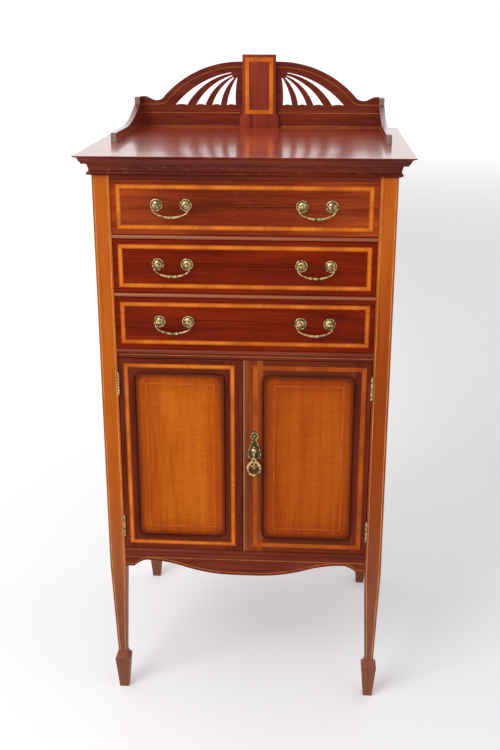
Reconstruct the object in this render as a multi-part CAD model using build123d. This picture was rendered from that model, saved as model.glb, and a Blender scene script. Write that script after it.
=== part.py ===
from build123d import *
from math import asin, cos, pi, sin, sqrt
import os

# An inlaid mahogany music cabinet: a carcass on four tapered legs with spade feet,
# three shallow drawers over a pair of panelled doors, and a fretted gallery on the top.
# Millimetres, X to the right, Y to the back, Z up from the floor.
# The origin is on the floor, under the middle of the whole outline in X and Y.

# Carcass
WIDTH = 520.0
DEPTH = 470.0
POST = 30.5
SIDE_THICK = 12.0
SIDE_INSET = 4.0
BACK_THICK = 9.0
BACK_INSET = 3.0
TOP_THICK = 14.5
TOP_OVERHANG = 26.5
TOP_FILLET = 2.0
TOP_COVE = 9.0
TOP_STEP = 2.5

# Heights, from the floor up
LEG_CLEAR = 279.5
APRON_END = 30.3
FLOOR_THICK = 9.0
DOOR_OPENING = 383.8
CUPBOARD_RAIL_HEIGHT = 17.7
DRAWER_OPENING = 95.5
DRAWER_COUNT = 3
RAIL_THICK = 8.0
TOP_RAIL_HEIGHT = 26.7

# Legs and spade feet
NECK = 17.0
NECK_Z = 86.0
SPADE = 29.5
SPADE_Z = 68.0
SPADE_HOLLOW = 1.6
TOE = 17.8

# Cornice under the top
CORNICE_HEIGHT = 21.0
CORNICE_OUT = 7.0
CORNICE_NECK = 3.5
CORNICE_BEAD = 2.6
CORNICE_FOOT = 2.4
CORNICE_HOLLOW = 2.2

# Rails, apron, floor and runners
FRONT_SETBACK = 2.0
NOSING_PROUD = 1.0
RAIL_FACE_SETBACK = 4.0
TOP_RAIL_THICK = 20.0
APRON_THICK = 12.5
APRON_SETBACK = 1.6
APRON_PEAK = 16.5
APRON_DROP = 43.5
APRON_FLAT = 22.0
APRON_WAVE = 118.0
APRON_CREST = 190.0
APRON_FOOT = 16.5
APRON_SHOULDER_X = 10.5
APRON_SHOULDER_Z = 5.2
RUNNER_WIDTH = 27.0
RUNNER_THICK = 8.0
GUIDE_HEIGHT = 14.0
GUIDE_PLAY = 0.5
SHELF_THICK = 10.0
SHELF_Z = 505.0
SHELF_SETBACK = 52.0
SHELF_PLAY = 0.3
BATTEN = 12.0

# Drawers
DRAWER_FRONT_THICK = 16.0
DRAWER_SIDE_THICK = 9.0
DRAWER_SIDE_HEIGHT = 87.0
DRAWER_BOTTOM_THICK = 5.0
DRAWER_BOTTOM_LIFT = 8.0
DRAWER_GROOVE = 4.0
DRAWER_LENGTH = 400.0
DRAWER_GAP = 0.6
DRAWER_PLAY = 0.3
DRAWER_SIDE_PLAY = 1.5

# Inlay
VENEER = 0.8
BAND = 8.0
DRAWER_BAND_MARGIN = 8.5
STRING = 1.2
POST_STRING_INSET = 3.0
APRON_STRING_DROP = 10.0
APRON_STRING_RISE = 4.5
RAIL_STRING_DROP = 3.5

# Doors
DOOR_THICK = 19.0
DOOR_GAP = 0.8
MEETING_GAP = 1.6
HINGE_GAP = 1.2
BEAD_WIDTH = 5.0
BEAD_DEPTH = 8.0
BEAD_PROUD = 1.5
STILE = 29.0
MEETING_STILE = 31.5
DOOR_RAIL = 28.0
DOOR_BAND_MARGIN = 9.5
MEETING_BAND_MARGIN = 13.5
PANEL_CORNER = 8.0
PANEL_SINK = 1.2
PANEL_FIT = 0.4
PANEL_ROUND = 2.0
FRAME_ROUND = 1.0
REBATE = 7.0
REBATE_DEPTH = 10.0
PANEL_FLANGE = 5.0
PANEL_STRING_INSET = 19.5

# Butt hinges
HINGE_LENGTH = 43.0
HINGE_FROM_END = 48.0
LEAF_THICK = 1.2
LEAF_WIDTH = 14.0
KNUCKLE_R = 2.4
KNUCKLE_OUT = 2.6
KNUCKLE_GAP = 0.2
PIN_R = 1.0
PIN_PLAY = 0.05
PIN_HEAD_R = 1.7
PIN_HEAD = 0.8
RELIEF = 0.25

# Drawer handles
HANDLE_PITCH = 50.8
HANDLE_CENTRE = 125.0
HANDLE_RISE = 4.0
ROSE_R = 11.0
ROSE_THICK = 1.1
ROSE_RIM = 1.6
ROSE_RIM_WIDTH = 2.4
ROSE_DOME_R = 7.4
ROSE_DOME = 3.4
ROSE_SHOULDER_R = 5.3
ROSE_SHOULDER = 2.8
SHANK_R = 2.2
POST_NECK_R = 2.5
HEAD_R = 3.3
HEAD_HALF = 2.6
PIVOT_OUT = 8.5
NUT_R = 5.0
NUT_THICK = 3.0
SHANK_END = 1.0
BAIL_WIRE_R = 1.3
BAIL_PLAY = 0.06
GRIP_R = 2.6
GRIP_HALF = 24.5
GRIP_SAG = 5.5
SHOULDER_R = 12.5
EYE_R = 3.2
EYE_GAP = 0.36
COLLAR_R = 3.1
COLLAR_WIDTH = 1.2
COLLAR_FROM_MIDDLE = 6.0

# Door pull and turning catch
PULL_Z = 531.0
PLATE_THICK = 1.6
PLATE_RIM = 1.3
PLATE_SINK = 0.6
PLATE_BODY_R = 12.4
PLATE_BODY_DROP = 10.0
PLATE_WAIST_R = 4.2
PLATE_WAIST_RISE = 17.0
PLATE_LOBE_R = 7.2
PLATE_LOBE_RISE = 25.4
PLATE_TIP_R = 2.4
PLATE_TIP_RISE = 33.3
PLATE_PIN_R = 1.4
KNOB_R = 6.2
KNOB_NECK_R = 3.6
KNOB_OUT = 13.0
KNOB_NECK = 3.5
KNOB_FOOT_R = 5.2
KNOB_FOOT = 1.0
KNOB_HOLLOW = 2.0
SPINDLE_R = 2.5
SPINDLE_PLAY = 0.06
LUG_WIDTH = 4.0
LUG_THICK = 4.2
DROP_PIVOT = 16.5
DROP_OUT = 9.0
DROP_EAR = 2.0
DROP_SIDE_PLAY = 0.3
DROP_THICK = 3.0
DROP_WIRE = 3.2
DROP_HALF_WIDTH = 13.5
DROP_HALF_HEIGHT = 15.6
DROP_FROM_PIVOT = 18.6
DROP_EYE_R = 1.9
SCROLL_R = 4.4
SCROLL_WIRE = 1.7
SCROLL_X = 3.6
STEM_WIDTH = 1.8
STEM_LENGTH = 9.0
BUD_R = 2.2
TONGUE_LENGTH = 30.0
TONGUE_WIDTH = 9.0
TONGUE_THICK = 2.5
TONGUE_GAP = 0.4
CATCH_NUT_THICK = 2.5
CATCH_NUT_R = 4.4

# Bolt inside the left door
BOLT_R = 2.0
BOLT_PLAY = 0.06
BOLT_TRAVEL = 9.0
BOLT_BELOW_TOP = 1.0
BOLT_LENGTH = 46.0
BOLT_CASE_WIDTH = 12.0
BOLT_CASE_HEIGHT = 36.0
BOLT_CASE_THICK = 7.0
BOLT_CASE_DROP = 7.0
BOLT_CENTRE_OUT = 3.5
BOLT_KNOB_R = 1.8
BOLT_KNOB_OUT = 9.0
BOLT_SLOT_PLAY = 0.4
BOLT_KEEP = 6.0
BOLT_KEEP_DEPTH = 10.0

# Gallery
GALLERY_THICK = 7.0
GALLERY_HALF = 256.0
GALLERY_INSET = 1.0
ARCH_RISE = 131.2
ARCH_FLAT = 40.0
ARCH_R = 216.0
ARCH_END = 196.0
ARCH_MIDDLE = 130.0
DIP_X = 212.0
DIP_RISE = 53.8
HORN_X = 227.0
HORN_RISE = 57.0
HORN_END = 237.0
GALLERY_END_RISE = 61.5
SLOT_FOOT_RISE = 44.0
SLOT_SCALLOP = 2.0
SLOT_TIP = 1.3
# Each fan slot: tip X, tip height, foot's outer X, foot's inner X, outer bow, inner bow
SLOTS = [
    (58.0, 109.0, 175.5, 151.0, 11.8, 12.6),
    (56.0, 103.3, 132.5, 112.5, 9.3, 8.8),
    (53.2, 99.5, 98.5, 80.5, 6.5, 5.2),
    (46.6, 98.8, 68.0, 49.0, 3.2, 1.6),
]
ARCH_STRING_IN = 9.6
BOARD_STRING_RISE = 29.5
BASE_STRING_RISE = 2.2
END_STRING_RISE = 46.4
END_STRING_X = 208.0
TABLET_HALF = 34.5
TABLET_RISE = 145.5
TABLET_THICK = 10.0
TABLET_BASE_HALF = 40.5
TABLET_BASE_RISE = 20.6
TABLET_SHOULDER_RISE = 31.0
TABLET_BAND_MARGIN = 5.8
TABLET_BAND_FOOT = 27.5
TABLET_BAND = 8.0
BRACKET_THICK = 10.5
BRACKET_INSET = 3.0
BRACKET_LENGTH = 294.0
BRACKET_BACK = 24.0
BRACKET_RISE = 61.5
BRACKET_STEP = 6.0
BRACKET_STEP_RISE = 47.0
BRACKET_SWEEP = 170.0
BRACKET_SWEEP_RISE = 16.5
BRACKET_SWEEP_SAG = 6.0
BRACKET_END_RISE = 17.5
BRACKET_STRING_RISE = 7.0
BRACKET_STRING_FROM_FRONT = 6.0

# Places that follow from the sizes
BACK_Y = (DEPTH + TOP_OVERHANG) / 2
FRONT_Y = BACK_Y - DEPTH
HALF = WIDTH / 2
POST_IN = HALF - POST
SIDE_OUT = HALF - SIDE_INSET
SIDE_IN = SIDE_OUT - SIDE_THICK
POST_BACK_Y = FRONT_Y + POST
REAR_POST_Y = BACK_Y - POST
PANEL_BACK_Y = BACK_Y - BACK_INSET
PANEL_FRONT_Y = PANEL_BACK_Y - BACK_THICK
FACE_Y = FRONT_Y + FRONT_SETBACK
FLOOR_BOTTOM = LEG_CLEAR + APRON_END
FLOOR_TOP = FLOOR_BOTTOM + FLOOR_THICK
DOOR_TOP = FLOOR_TOP + DOOR_OPENING
DRAWERS_BOTTOM = DOOR_TOP + CUPBOARD_RAIL_HEIGHT
DRAWER_PITCH = DRAWER_OPENING + RAIL_THICK
DRAWERS_TOP = DRAWERS_BOTTOM + DRAWER_COUNT * DRAWER_OPENING + (DRAWER_COUNT - 1) * RAIL_THICK
CARCASS_TOP = DRAWERS_TOP + TOP_RAIL_HEIGHT
TOP_Z = CARCASS_TOP + TOP_THICK
HINGE_X = POST_IN - HINGE_GAP / 2
HINGE_Y = FACE_Y - KNUCKLE_OUT
DOOR_BOTTOM = FLOOR_TOP + DOOR_GAP
DOOR_HEAD = DOOR_TOP - DOOR_GAP
DOOR_OUT = POST_IN - HINGE_GAP
LEFT_DOOR_IN = BEAD_WIDTH / 2 + MEETING_GAP
RIGHT_DOOR_IN = BEAD_WIDTH / 2
PULL_X = RIGHT_DOOR_IN + MEETING_STILE / 2
DOOR_BACK_Y = FACE_Y + DOOR_THICK
BOLT_Y = DOOR_BACK_Y + BOLT_CENTRE_OUT
BOLT_X = -(LEFT_DOOR_IN + MEETING_STILE / 2)
GALLERY_BACK_Y = BACK_Y - GALLERY_INSET
GALLERY_FRONT_Y = GALLERY_BACK_Y - GALLERY_THICK
TABLET_FRONT_Y = GALLERY_FRONT_Y - TABLET_THICK
BRACKET_OUT = HALF - BRACKET_INSET
BRACKET_IN = BRACKET_OUT - BRACKET_THICK


def block(x0, x1, y0, y1, z0, z1):
    """A square-edged board between two corners."""
    centre = Pos((x0 + x1) / 2, (y0 + y1) / 2, (z0 + z1) / 2)
    return centre * Box(abs(x1 - x0), abs(y1 - y0), abs(z1 - z0))


def front_slab(face, y0, y1):
    """A face drawn in X and Z, as a board from y0 to y1."""
    return extrude(Plane.XZ.offset(-y1) * face, amount=y1 - y0)


def side_slab(face, x0, x1):
    """A face drawn in Y and Z, as a board from x0 to x1."""
    return extrude(Plane.YZ.offset(x0) * face, amount=x1 - x0)


def polygon(*points):
    """A straight-sided face."""
    return make_face(Polyline(*points, close=True))


def mirrored(shape):
    """The same piece on the other side of the middle."""
    return mirror(shape, about=Plane.YZ)


def y_pin(x, z, y0, y1, radius):
    """A round pin or hole along Y."""
    return Plane.XZ.offset(-y1) * Pos(x, z) * extrude(Circle(radius), amount=y1 - y0)


def x_pin(y, z, x0, x1, radius):
    """A round pin or hole along X."""
    return Plane.YZ.offset(x0) * Pos(y, z) * extrude(Circle(radius), amount=x1 - x0)


def z_pin(x, y, z0, z1, radius):
    """A round pin or hole along Z."""
    return Pos(x, y, z0) * extrude(Circle(radius), amount=z1 - z0)


def mitred_frame(x0, x1, z0, z1, width, y0, y1):
    """Four strips round a rectangle, mitred at the corners."""
    a0, a1, c0, c1 = x0 + width, x1 - width, z0 + width, z1 - width
    strips = [
        polygon((x0, z1), (x1, z1), (a1, c1), (a0, c1)),
        polygon((x0, z0), (a0, c0), (a1, c0), (x1, z0)),
        polygon((x0, z0), (x0, z1), (a0, c1), (a0, c0)),
        polygon((x1, z0), (a1, c0), (a1, c1), (x1, z1)),
    ]
    return [front_slab(face, y0, y1) for face in strips]


def let_in(body, pieces):
    """The body with a bed cut for each inlaid piece."""
    for piece in pieces:
        body = body - piece
    return body


def save(node, *shapes):
    """One file for the node, with each of its pieces as a solid of its own."""
    solids = []
    for shape in shapes:
        solids.extend(shape.solids())
    export_step(solids[0] if len(solids) == 1 else Compound(children=solids), f"parts/{node}.step")


# Legs


def leg_outline():
    """One leg seen square on: straight post, taper, hollow under the neck, spade foot."""
    def at(half, z):
        return (half, z)

    post, neck, spade, toe = POST / 2, NECK / 2, SPADE / 2, TOE / 2
    bow = ((neck + spade) / 2 - SPADE_HOLLOW, (NECK_Z + SPADE_Z) / 2 - SPADE_HOLLOW)
    right = [
        Line(at(toe, 0), at(spade, SPADE_Z)),
        ThreePointArc(at(spade, SPADE_Z), bow, at(neck, NECK_Z)),
        Line(at(neck, NECK_Z), at(post, LEG_CLEAR)),
        Line(at(post, LEG_CLEAR), at(post, CARCASS_TOP)),
    ]
    left = [mirror(edge, about=Plane.YZ) for edge in right]
    ends = [Line(at(-toe, 0), at(toe, 0)), Line(at(-post, CARCASS_TOP), at(post, CARCASS_TOP))]
    return make_face(right + left + ends)


def leg(x, y):
    """A square leg: the same outline from the front and from the side."""
    outline = leg_outline()
    across = front_slab(outline, -POST, POST)
    along = side_slab(outline, -POST, POST)
    return Pos(x, y, 0) * (across & along)


def post_strings(x):
    """Two light strings down a front leg, just inside its edges, to the neck."""
    y = FRONT_Y + POST / 2
    whole = leg(x, y)
    core = Pos(0, VENEER, 0) * whole
    strings = []
    for side in (-1, 1):
        def edge(half, inset):
            return x + side * (half - inset)

        outer, inner = POST_STRING_INSET, POST_STRING_INSET + STRING
        stripe = polygon(
            (edge(NECK / 2, outer), NECK_Z),
            (edge(POST / 2, outer), LEG_CLEAR),
            (edge(POST / 2, outer), CARCASS_TOP - CORNICE_HEIGHT),
            (edge(POST / 2, inner), CARCASS_TOP - CORNICE_HEIGHT),
            (edge(POST / 2, inner), LEG_CLEAR),
            (edge(NECK / 2, inner), NECK_Z),
        )
        strings.append((whole & front_slab(stripe, FRONT_Y - 1, y)) - core)
    return strings


def hinge_heights():
    """The bottom of each butt hinge."""
    return [DOOR_BOTTOM + HINGE_FROM_END - HINGE_LENGTH / 2, DOOR_HEAD - HINGE_FROM_END - HINGE_LENGTH / 2]


def hinge_cuts(side):
    """Beds for the fixed leaves in a post, and room for the knuckles."""
    cuts = []
    for z in hinge_heights():
        x0, x1 = sorted((side * POST_IN, side * (POST_IN + LEAF_THICK)))
        cuts.append(block(x0, x1, HINGE_Y, FACE_Y + LEAF_WIDTH, z, z + HINGE_LENGTH))
        room = z_pin(side * HINGE_X, HINGE_Y, z - PIN_HEAD, z + HINGE_LENGTH + PIN_HEAD, KNUCKLE_R + RELIEF)
        cuts.append(room)
    return cuts


def legs():
    """The four legs; the front pair carries the strings and the hinges."""
    strings = []
    for name, side in (("left", -1), ("right", 1)):
        x = side * (HALF - POST / 2)
        own = post_strings(x)
        front = let_in(leg(x, FRONT_Y + POST / 2), own)
        save(f"front_leg_{name}", let_in(front, hinge_cuts(side)))
        save(f"rear_leg_{name}", leg(x, BACK_Y - POST / 2))
        strings.extend(own)
    return strings


# Case


def case_boards():
    """Side panels and back, between the posts."""
    for name, side in (("left", -1), ("right", 1)):
        x0, x1 = sorted((side * SIDE_IN, side * SIDE_OUT))
        save(f"side_panel_{name}", block(x0, x1, POST_BACK_Y, REAR_POST_Y, LEG_CLEAR, CARCASS_TOP))
    save("back_panel", block(-POST_IN, POST_IN, PANEL_FRONT_Y, PANEL_BACK_Y, LEG_CLEAR, CARCASS_TOP))


def top_board():
    """The top, with a fillet and a hollow worked on the front and both ends."""
    x, front = HALF + TOP_OVERHANG, FRONT_Y - TOP_OVERHANG
    board = block(-x, x, front, BACK_Y, CARCASS_TOP, TOP_Z)
    cove_top = TOP_Z - TOP_FILLET
    cove_foot = cove_top - TOP_COVE
    bulge = TOP_COVE * (1 - sin(pi / 4))

    def waste(out, sign):
        """The section cut away below an edge at a distance out, on one side."""
        def at(inward, z):
            return (sign * (out - inward), z)

        return make_face([
            Line(at(0, CARCASS_TOP), at(0, cove_top)),
            ThreePointArc(at(0, cove_top), at(TOP_COVE - bulge, cove_top - bulge), at(TOP_COVE, cove_foot)),
            Line(at(TOP_COVE, cove_foot), at(TOP_COVE + TOP_STEP, cove_foot)),
            Line(at(TOP_COVE + TOP_STEP, cove_foot), at(TOP_COVE + TOP_STEP, CARCASS_TOP)),
            Line(at(TOP_COVE + TOP_STEP, CARCASS_TOP), at(0, CARCASS_TOP)),
        ])

    end = front_slab(waste(x, 1), front, BACK_Y)
    along = side_slab(waste(-front, -1), -x, x)
    save("top_board", board - end - mirrored(end) - along)


def cornice_section(face, sign):
    """The moulding's section standing out from a face, sign saying which way is out."""
    top, bottom = CARCASS_TOP, CARCASS_TOP - CORNICE_HEIGHT

    def at(out, z):
        return (face + sign * out, z)

    bead_mid = bottom + CORNICE_FOOT + CORNICE_BEAD
    neck_foot = bead_mid + CORNICE_BEAD
    hollow = at(CORNICE_OUT - CORNICE_HOLLOW, (top + neck_foot) / 2)
    return make_face([
        Line(at(0, bottom), at(0, top)),
        Line(at(0, top), at(CORNICE_OUT, top)),
        ThreePointArc(at(CORNICE_OUT, top), hollow, at(CORNICE_NECK, neck_foot)),
        Line(at(CORNICE_NECK, neck_foot), at(CORNICE_OUT - CORNICE_BEAD, neck_foot)),
        ThreePointArc(at(CORNICE_OUT - CORNICE_BEAD, neck_foot), at(CORNICE_OUT, bead_mid),
                      at(CORNICE_OUT - CORNICE_BEAD, bead_mid - CORNICE_BEAD)),
        Line(at(CORNICE_OUT - CORNICE_BEAD, bead_mid - CORNICE_BEAD), at(0, bottom)),
    ])


def cornice():
    """Three lengths of moulding, mitred at the front corners."""
    reach = HALF + CORNICE_OUT
    front = side_slab(cornice_section(FRONT_Y, -1), -reach, reach)
    end = front_slab(cornice_section(HALF, 1), FRONT_Y - CORNICE_OUT, BACK_Y)
    z0, z1 = CARCASS_TOP - CORNICE_HEIGHT, CARCASS_TOP
    corner = (HALF, FRONT_Y)
    far = 2 * CORNICE_OUT
    wedge = Polyline(corner, (corner[0] + far, corner[1] - far), (corner[0] + far, corner[1]), close=True)
    right_of_mitre = Pos(0, 0, z0) * extrude(make_face(wedge), amount=z1 - z0)
    front_piece = front - right_of_mitre - mirrored(right_of_mitre)
    end_piece = end & (right_of_mitre + block(HALF, reach, FRONT_Y, BACK_Y, z0, z1))
    save("cornice_moulding", front_piece, end_piece, mirrored(end_piece))


def nosed_board(bottom, top, z0):
    """A board with a rounded front edge between the posts, with a flat face under it down to z0."""
    nose = FRONT_Y - NOSING_PROUD
    half = (top - bottom) / 2
    back = nose + half
    nosed = make_face([
        ThreePointArc((back, top), (nose, bottom + half), (back, bottom)),
        Line((back, bottom), (POST_BACK_Y, bottom)),
        Line((POST_BACK_Y, bottom), (POST_BACK_Y, top)),
        Line((POST_BACK_Y, top), (back, top)),
    ])
    board = side_slab(nosed, -POST_IN, POST_IN)
    if z0 < bottom:
        board = board + block(-POST_IN, POST_IN, FRONT_Y + RAIL_FACE_SETBACK, POST_BACK_Y, z0, bottom)
    return board


def rails():
    """Top rail, the two rails between drawers, and the deeper rail over the doors."""
    save("top_rail", block(-POST_IN, POST_IN, FRONT_Y, FRONT_Y + TOP_RAIL_THICK, DRAWERS_TOP, CARCASS_TOP))
    for index, name in ((1, "upper"), (2, "middle")):
        top = drawer_floor(index)
        save(f"drawer_rail_{name}", nosed_board(top - RAIL_THICK, top, top - RAIL_THICK))
    nosing = DRAWERS_BOTTOM - RAIL_THICK
    rail = nosed_board(nosing, DRAWERS_BOTTOM, DOOR_TOP)
    face = FRONT_Y + RAIL_FACE_SETBACK
    z = nosing - RAIL_STRING_DROP
    string = block(-POST_IN, POST_IN, face, face + VENEER, z - STRING, z)
    keep = BOLT_KEEP / 2
    mortise = block(BOLT_X - keep, BOLT_X + keep, BOLT_Y - keep, BOLT_Y + keep,
                    DOOR_TOP, DOOR_TOP + BOLT_KEEP_DEPTH)
    save("cupboard_rail", rail - string - mortise)
    return [string]


def apron_edge(rise):
    """The serpentine lower edge of the apron, raised by a given amount, from end to end."""
    top = FLOOR_BOTTOM
    low, peak, end = top - APRON_DROP + rise, top - APRON_PEAK + rise, LEG_CLEAR + rise
    wave_z = low + (APRON_WAVE - APRON_FLAT) * (peak - low) / (APRON_CREST - APRON_FLAT)
    half_turn = 2 * asin((peak - low) / sqrt((peak - low) ** 2 + (APRON_CREST - APRON_FLAT) ** 2))
    first = (APRON_WAVE - APRON_FLAT) / sin(half_turn)
    second = (APRON_CREST - APRON_WAVE) / sin(half_turn)

    def on_first(share):
        a = half_turn * share
        return (APRON_FLAT + first * sin(a), low + first * (1 - cos(a)))

    def on_second(share):
        a = half_turn * share
        return (APRON_CREST - second * sin(a), peak - second * (1 - cos(a)))

    foot = POST_IN - APRON_FOOT
    shoulder = (foot - APRON_SHOULDER_X, peak - APRON_SHOULDER_Z)
    right = [
        Line((0, low), (APRON_FLAT, low)),
        ThreePointArc((APRON_FLAT, low), on_first(0.5), (APRON_WAVE, wave_z)),
        ThreePointArc((APRON_WAVE, wave_z), on_second(0.5), (APRON_CREST, peak)),
        ThreePointArc((APRON_CREST, peak), shoulder, (foot, end)),
        Line((foot, end), (POST_IN, end)),
    ]
    return right + [mirror(edge, about=Plane.YZ) for edge in right]


def apron():
    """The shaped apron with a straight string and one that follows its edge."""
    end, top = LEG_CLEAR, FLOOR_BOTTOM
    face = make_face(apron_edge(0) + [
        Line((POST_IN, end), (POST_IN, top)), Line((POST_IN, top), (-POST_IN, top)),
        Line((-POST_IN, top), (-POST_IN, end))])
    y0 = FRONT_Y + APRON_SETBACK
    board = front_slab(face, y0, y0 + APRON_THICK)
    level = top - APRON_STRING_DROP
    straight = block(-POST_IN, POST_IN, y0, y0 + VENEER, level - STRING, level)
    low, high = APRON_STRING_RISE, APRON_STRING_RISE + STRING
    ribbon = make_face(apron_edge(low) + apron_edge(high) + [
        Line((POST_IN, end + low), (POST_IN, end + high)),
        Line((-POST_IN, end + low), (-POST_IN, end + high))])
    curved = front_slab(ribbon, y0, y0 + VENEER)
    save("apron", board - straight - curved)
    return [straight, curved]


def cupboard_inside():
    """Cupboard floor, notched round the posts, and one shelf on two battens."""
    floor = block(-SIDE_IN, SIDE_IN, POST_BACK_Y, REAR_POST_Y, FLOOR_BOTTOM, FLOOR_TOP)
    tail = block(-POST_IN, POST_IN, REAR_POST_Y, PANEL_FRONT_Y, FLOOR_BOTTOM, FLOOR_TOP)
    save("cupboard_floor", floor + tail + nosed_board(FLOOR_BOTTOM, FLOOR_TOP, FLOOR_BOTTOM))
    y0 = FRONT_Y + SHELF_SETBACK
    x = SIDE_IN - SHELF_PLAY
    save("cupboard_shelf", block(-x, x, y0, REAR_POST_Y, SHELF_Z, SHELF_Z + SHELF_THICK))
    batten = block(SIDE_IN - BATTEN, SIDE_IN, y0, REAR_POST_Y, SHELF_Z - BATTEN, SHELF_Z)
    save("shelf_battens", batten, mirrored(batten))


def drawer_floor(index):
    """The height that drawer number index runs at, counted from the top one."""
    return DRAWERS_TOP - DRAWER_OPENING - (index - 1) * DRAWER_PITCH


def runners():
    """A runner at each end of each drawer, with its guide along the side and its stop behind."""
    pieces = []
    x0, guide_x = SIDE_IN - RUNNER_WIDTH, POST_IN - DRAWER_SIDE_PLAY + GUIDE_PLAY
    stop_y = FACE_Y + DRAWER_LENGTH + DRAWER_PLAY
    for index in range(1, DRAWER_COUNT + 1):
        z = drawer_floor(index)
        top = z + GUIDE_HEIGHT
        bed = block(x0, SIDE_IN, POST_BACK_Y, REAR_POST_Y, z - RUNNER_THICK, z)
        guide = block(guide_x, SIDE_IN, POST_BACK_Y, REAR_POST_Y, z, top)
        stop = block(x0, guide_x, stop_y, REAR_POST_Y, z, top)
        runner = bed + guide + stop
        pieces.extend([runner, mirrored(runner)])
    save("drawer_runners", *pieces)


# Drawers


def handle_places(index):
    """The middle of each handle on a drawer, left then right."""
    z = drawer_floor(index) + DRAWER_OPENING / 2 + HANDLE_RISE
    return [("left", -HANDLE_CENTRE, z), ("right", HANDLE_CENTRE, z)]


def rose(x, z):
    """A turned rose: flat plate with a beaded rim, then a dome round the post."""
    rim_foot = ROSE_R - ROSE_RIM_WIDTH
    section = make_face([
        Line((SHANK_R, 0), (ROSE_R, 0)),
        ThreePointArc((ROSE_R, 0), (ROSE_R - ROSE_RIM_WIDTH / 2, ROSE_RIM), (rim_foot, ROSE_THICK)),
        Line((rim_foot, ROSE_THICK), (ROSE_DOME_R, ROSE_THICK)),
        ThreePointArc((ROSE_DOME_R, ROSE_THICK), (ROSE_SHOULDER_R, ROSE_SHOULDER), (POST_NECK_R, ROSE_DOME)),
        Line((POST_NECK_R, ROSE_DOME), (SHANK_R, ROSE_DOME)),
        Line((SHANK_R, ROSE_DOME), (SHANK_R, 0)),
    ])
    return Pos(x, FACE_Y, z) * mirror(revolve(section, axis=Axis.Y), about=Plane.XZ)


def handle_post(x, z):
    """The threaded post: shank through the drawer front, neck, and a head bored for the bail."""
    tail = DRAWER_FRONT_THICK + NUT_THICK + SHANK_END
    shank = y_pin(x, z, FACE_Y - ROSE_DOME, FACE_Y + tail, SHANK_R)
    neck = y_pin(x, z, FACE_Y - PIVOT_OUT, FACE_Y - ROSE_DOME, POST_NECK_R)
    head = Pos(x, FACE_Y - PIVOT_OUT, z) * Sphere(HEAD_R)
    head = head & block(x - HEAD_HALF, x + HEAD_HALF, FACE_Y - 2 * PIVOT_OUT, FACE_Y, z - HEAD_R, z + HEAD_R)
    hole = x_pin(FACE_Y - PIVOT_OUT, z, x - HEAD_R, x + HEAD_R, BAIL_WIRE_R + BAIL_PLAY)
    return shank + neck + head - hole


def handle_nut(x, z):
    """The square nut inside the drawer."""
    y0 = FACE_Y + DRAWER_FRONT_THICK
    nut = block(x - NUT_R, x + NUT_R, y0, y0 + NUT_THICK, z - NUT_R, z + NUT_R)
    return nut - y_pin(x, z, y0, y0 + NUT_THICK, SHANK_R)


def bail():
    """One drop handle about its own pivot: pins, shoulders, and a grip that swells in the middle."""
    arc_r = (GRIP_HALF ** 2 + GRIP_SAG ** 2) / (2 * GRIP_SAG)
    slope = asin(GRIP_HALF / arc_r)
    outer = GRIP_HALF + SHOULDER_R * (1 - sin(slope))
    end_z = -EYE_R - SHOULDER_R * cos(slope)
    low = end_z - GRIP_SAG
    pin_x = outer - EYE_R
    inner = HANDLE_PITCH / 2 - HEAD_HALF - EYE_GAP

    def on_shoulder(a):
        return (outer - SHOULDER_R * (1 - cos(a)), -EYE_R - SHOULDER_R * sin(a))

    turn = pi / 2 - slope
    diag = EYE_R * (1 - sin(pi / 4))
    path = [
        Line((inner, 0), (pin_x, 0)),
        ThreePointArc((pin_x, 0), (outer - diag, -diag), (outer, -EYE_R)),
        ThreePointArc((outer, -EYE_R), on_shoulder(turn / 2), (GRIP_HALF, end_z)),
    ]
    wire = Plane.XZ * Wire(path)
    section = Plane((inner, 0, 0), x_dir=(0, 1, 0), z_dir=(1, 0, 0)) * Circle(BAIL_WIRE_R)
    arm = sweep(section, path=wire)
    stations = []
    for step in range(-4, 5):
        share = step / 4
        a = slope * share
        radius = BAIL_WIRE_R + (GRIP_R - BAIL_WIRE_R) * cos(share * pi / 2)
        origin = (arc_r * sin(a), 0, low + arc_r * (1 - cos(a)))
        along = (cos(a), 0, sin(a))
        stations.append(Plane(origin, x_dir=(0, 1, 0), z_dir=along) * Circle(radius))
    grip = loft(stations)
    shape = arm + mirrored(arm) + grip
    for side in (-1, 1):
        a = side * asin(COLLAR_FROM_MIDDLE / arc_r)
        origin = (arc_r * sin(a), 0, low + arc_r * (1 - cos(a)))
        place = Plane(origin, x_dir=(0, 1, 0), z_dir=(cos(a), 0, sin(a)))
        shape = shape + place * Cylinder(COLLAR_R, COLLAR_WIDTH)
    return shape


def handle_posts(index):
    """Where the four handle posts of a drawer stand."""
    half = HANDLE_PITCH / 2
    return [(centre + side * half, z) for _, centre, z in handle_places(index) for side in (-1, 1)]


def drawer_front(index, bottom):
    """The front, with its crossbanding and the holes for the handle posts."""
    z0 = drawer_floor(index) + DRAWER_GAP
    z1 = drawer_floor(index) + DRAWER_OPENING - DRAWER_GAP
    x, m = POST_IN - DRAWER_GAP, DRAWER_BAND_MARGIN
    back = FACE_Y + DRAWER_FRONT_THICK
    band = mitred_frame(-x + m, x - m, z0 + m, z1 - m, BAND, FACE_Y, FACE_Y + VENEER)
    front = let_in(block(-x, x, FACE_Y, back, z0, z1), band) - bottom
    holes = [y_pin(at, z, FACE_Y, back, SHANK_R) for at, z in handle_posts(index)]
    save(f"drawer_{index}_front", let_in(front, holes))
    save(f"drawer_{index}_banding", *band)


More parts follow.
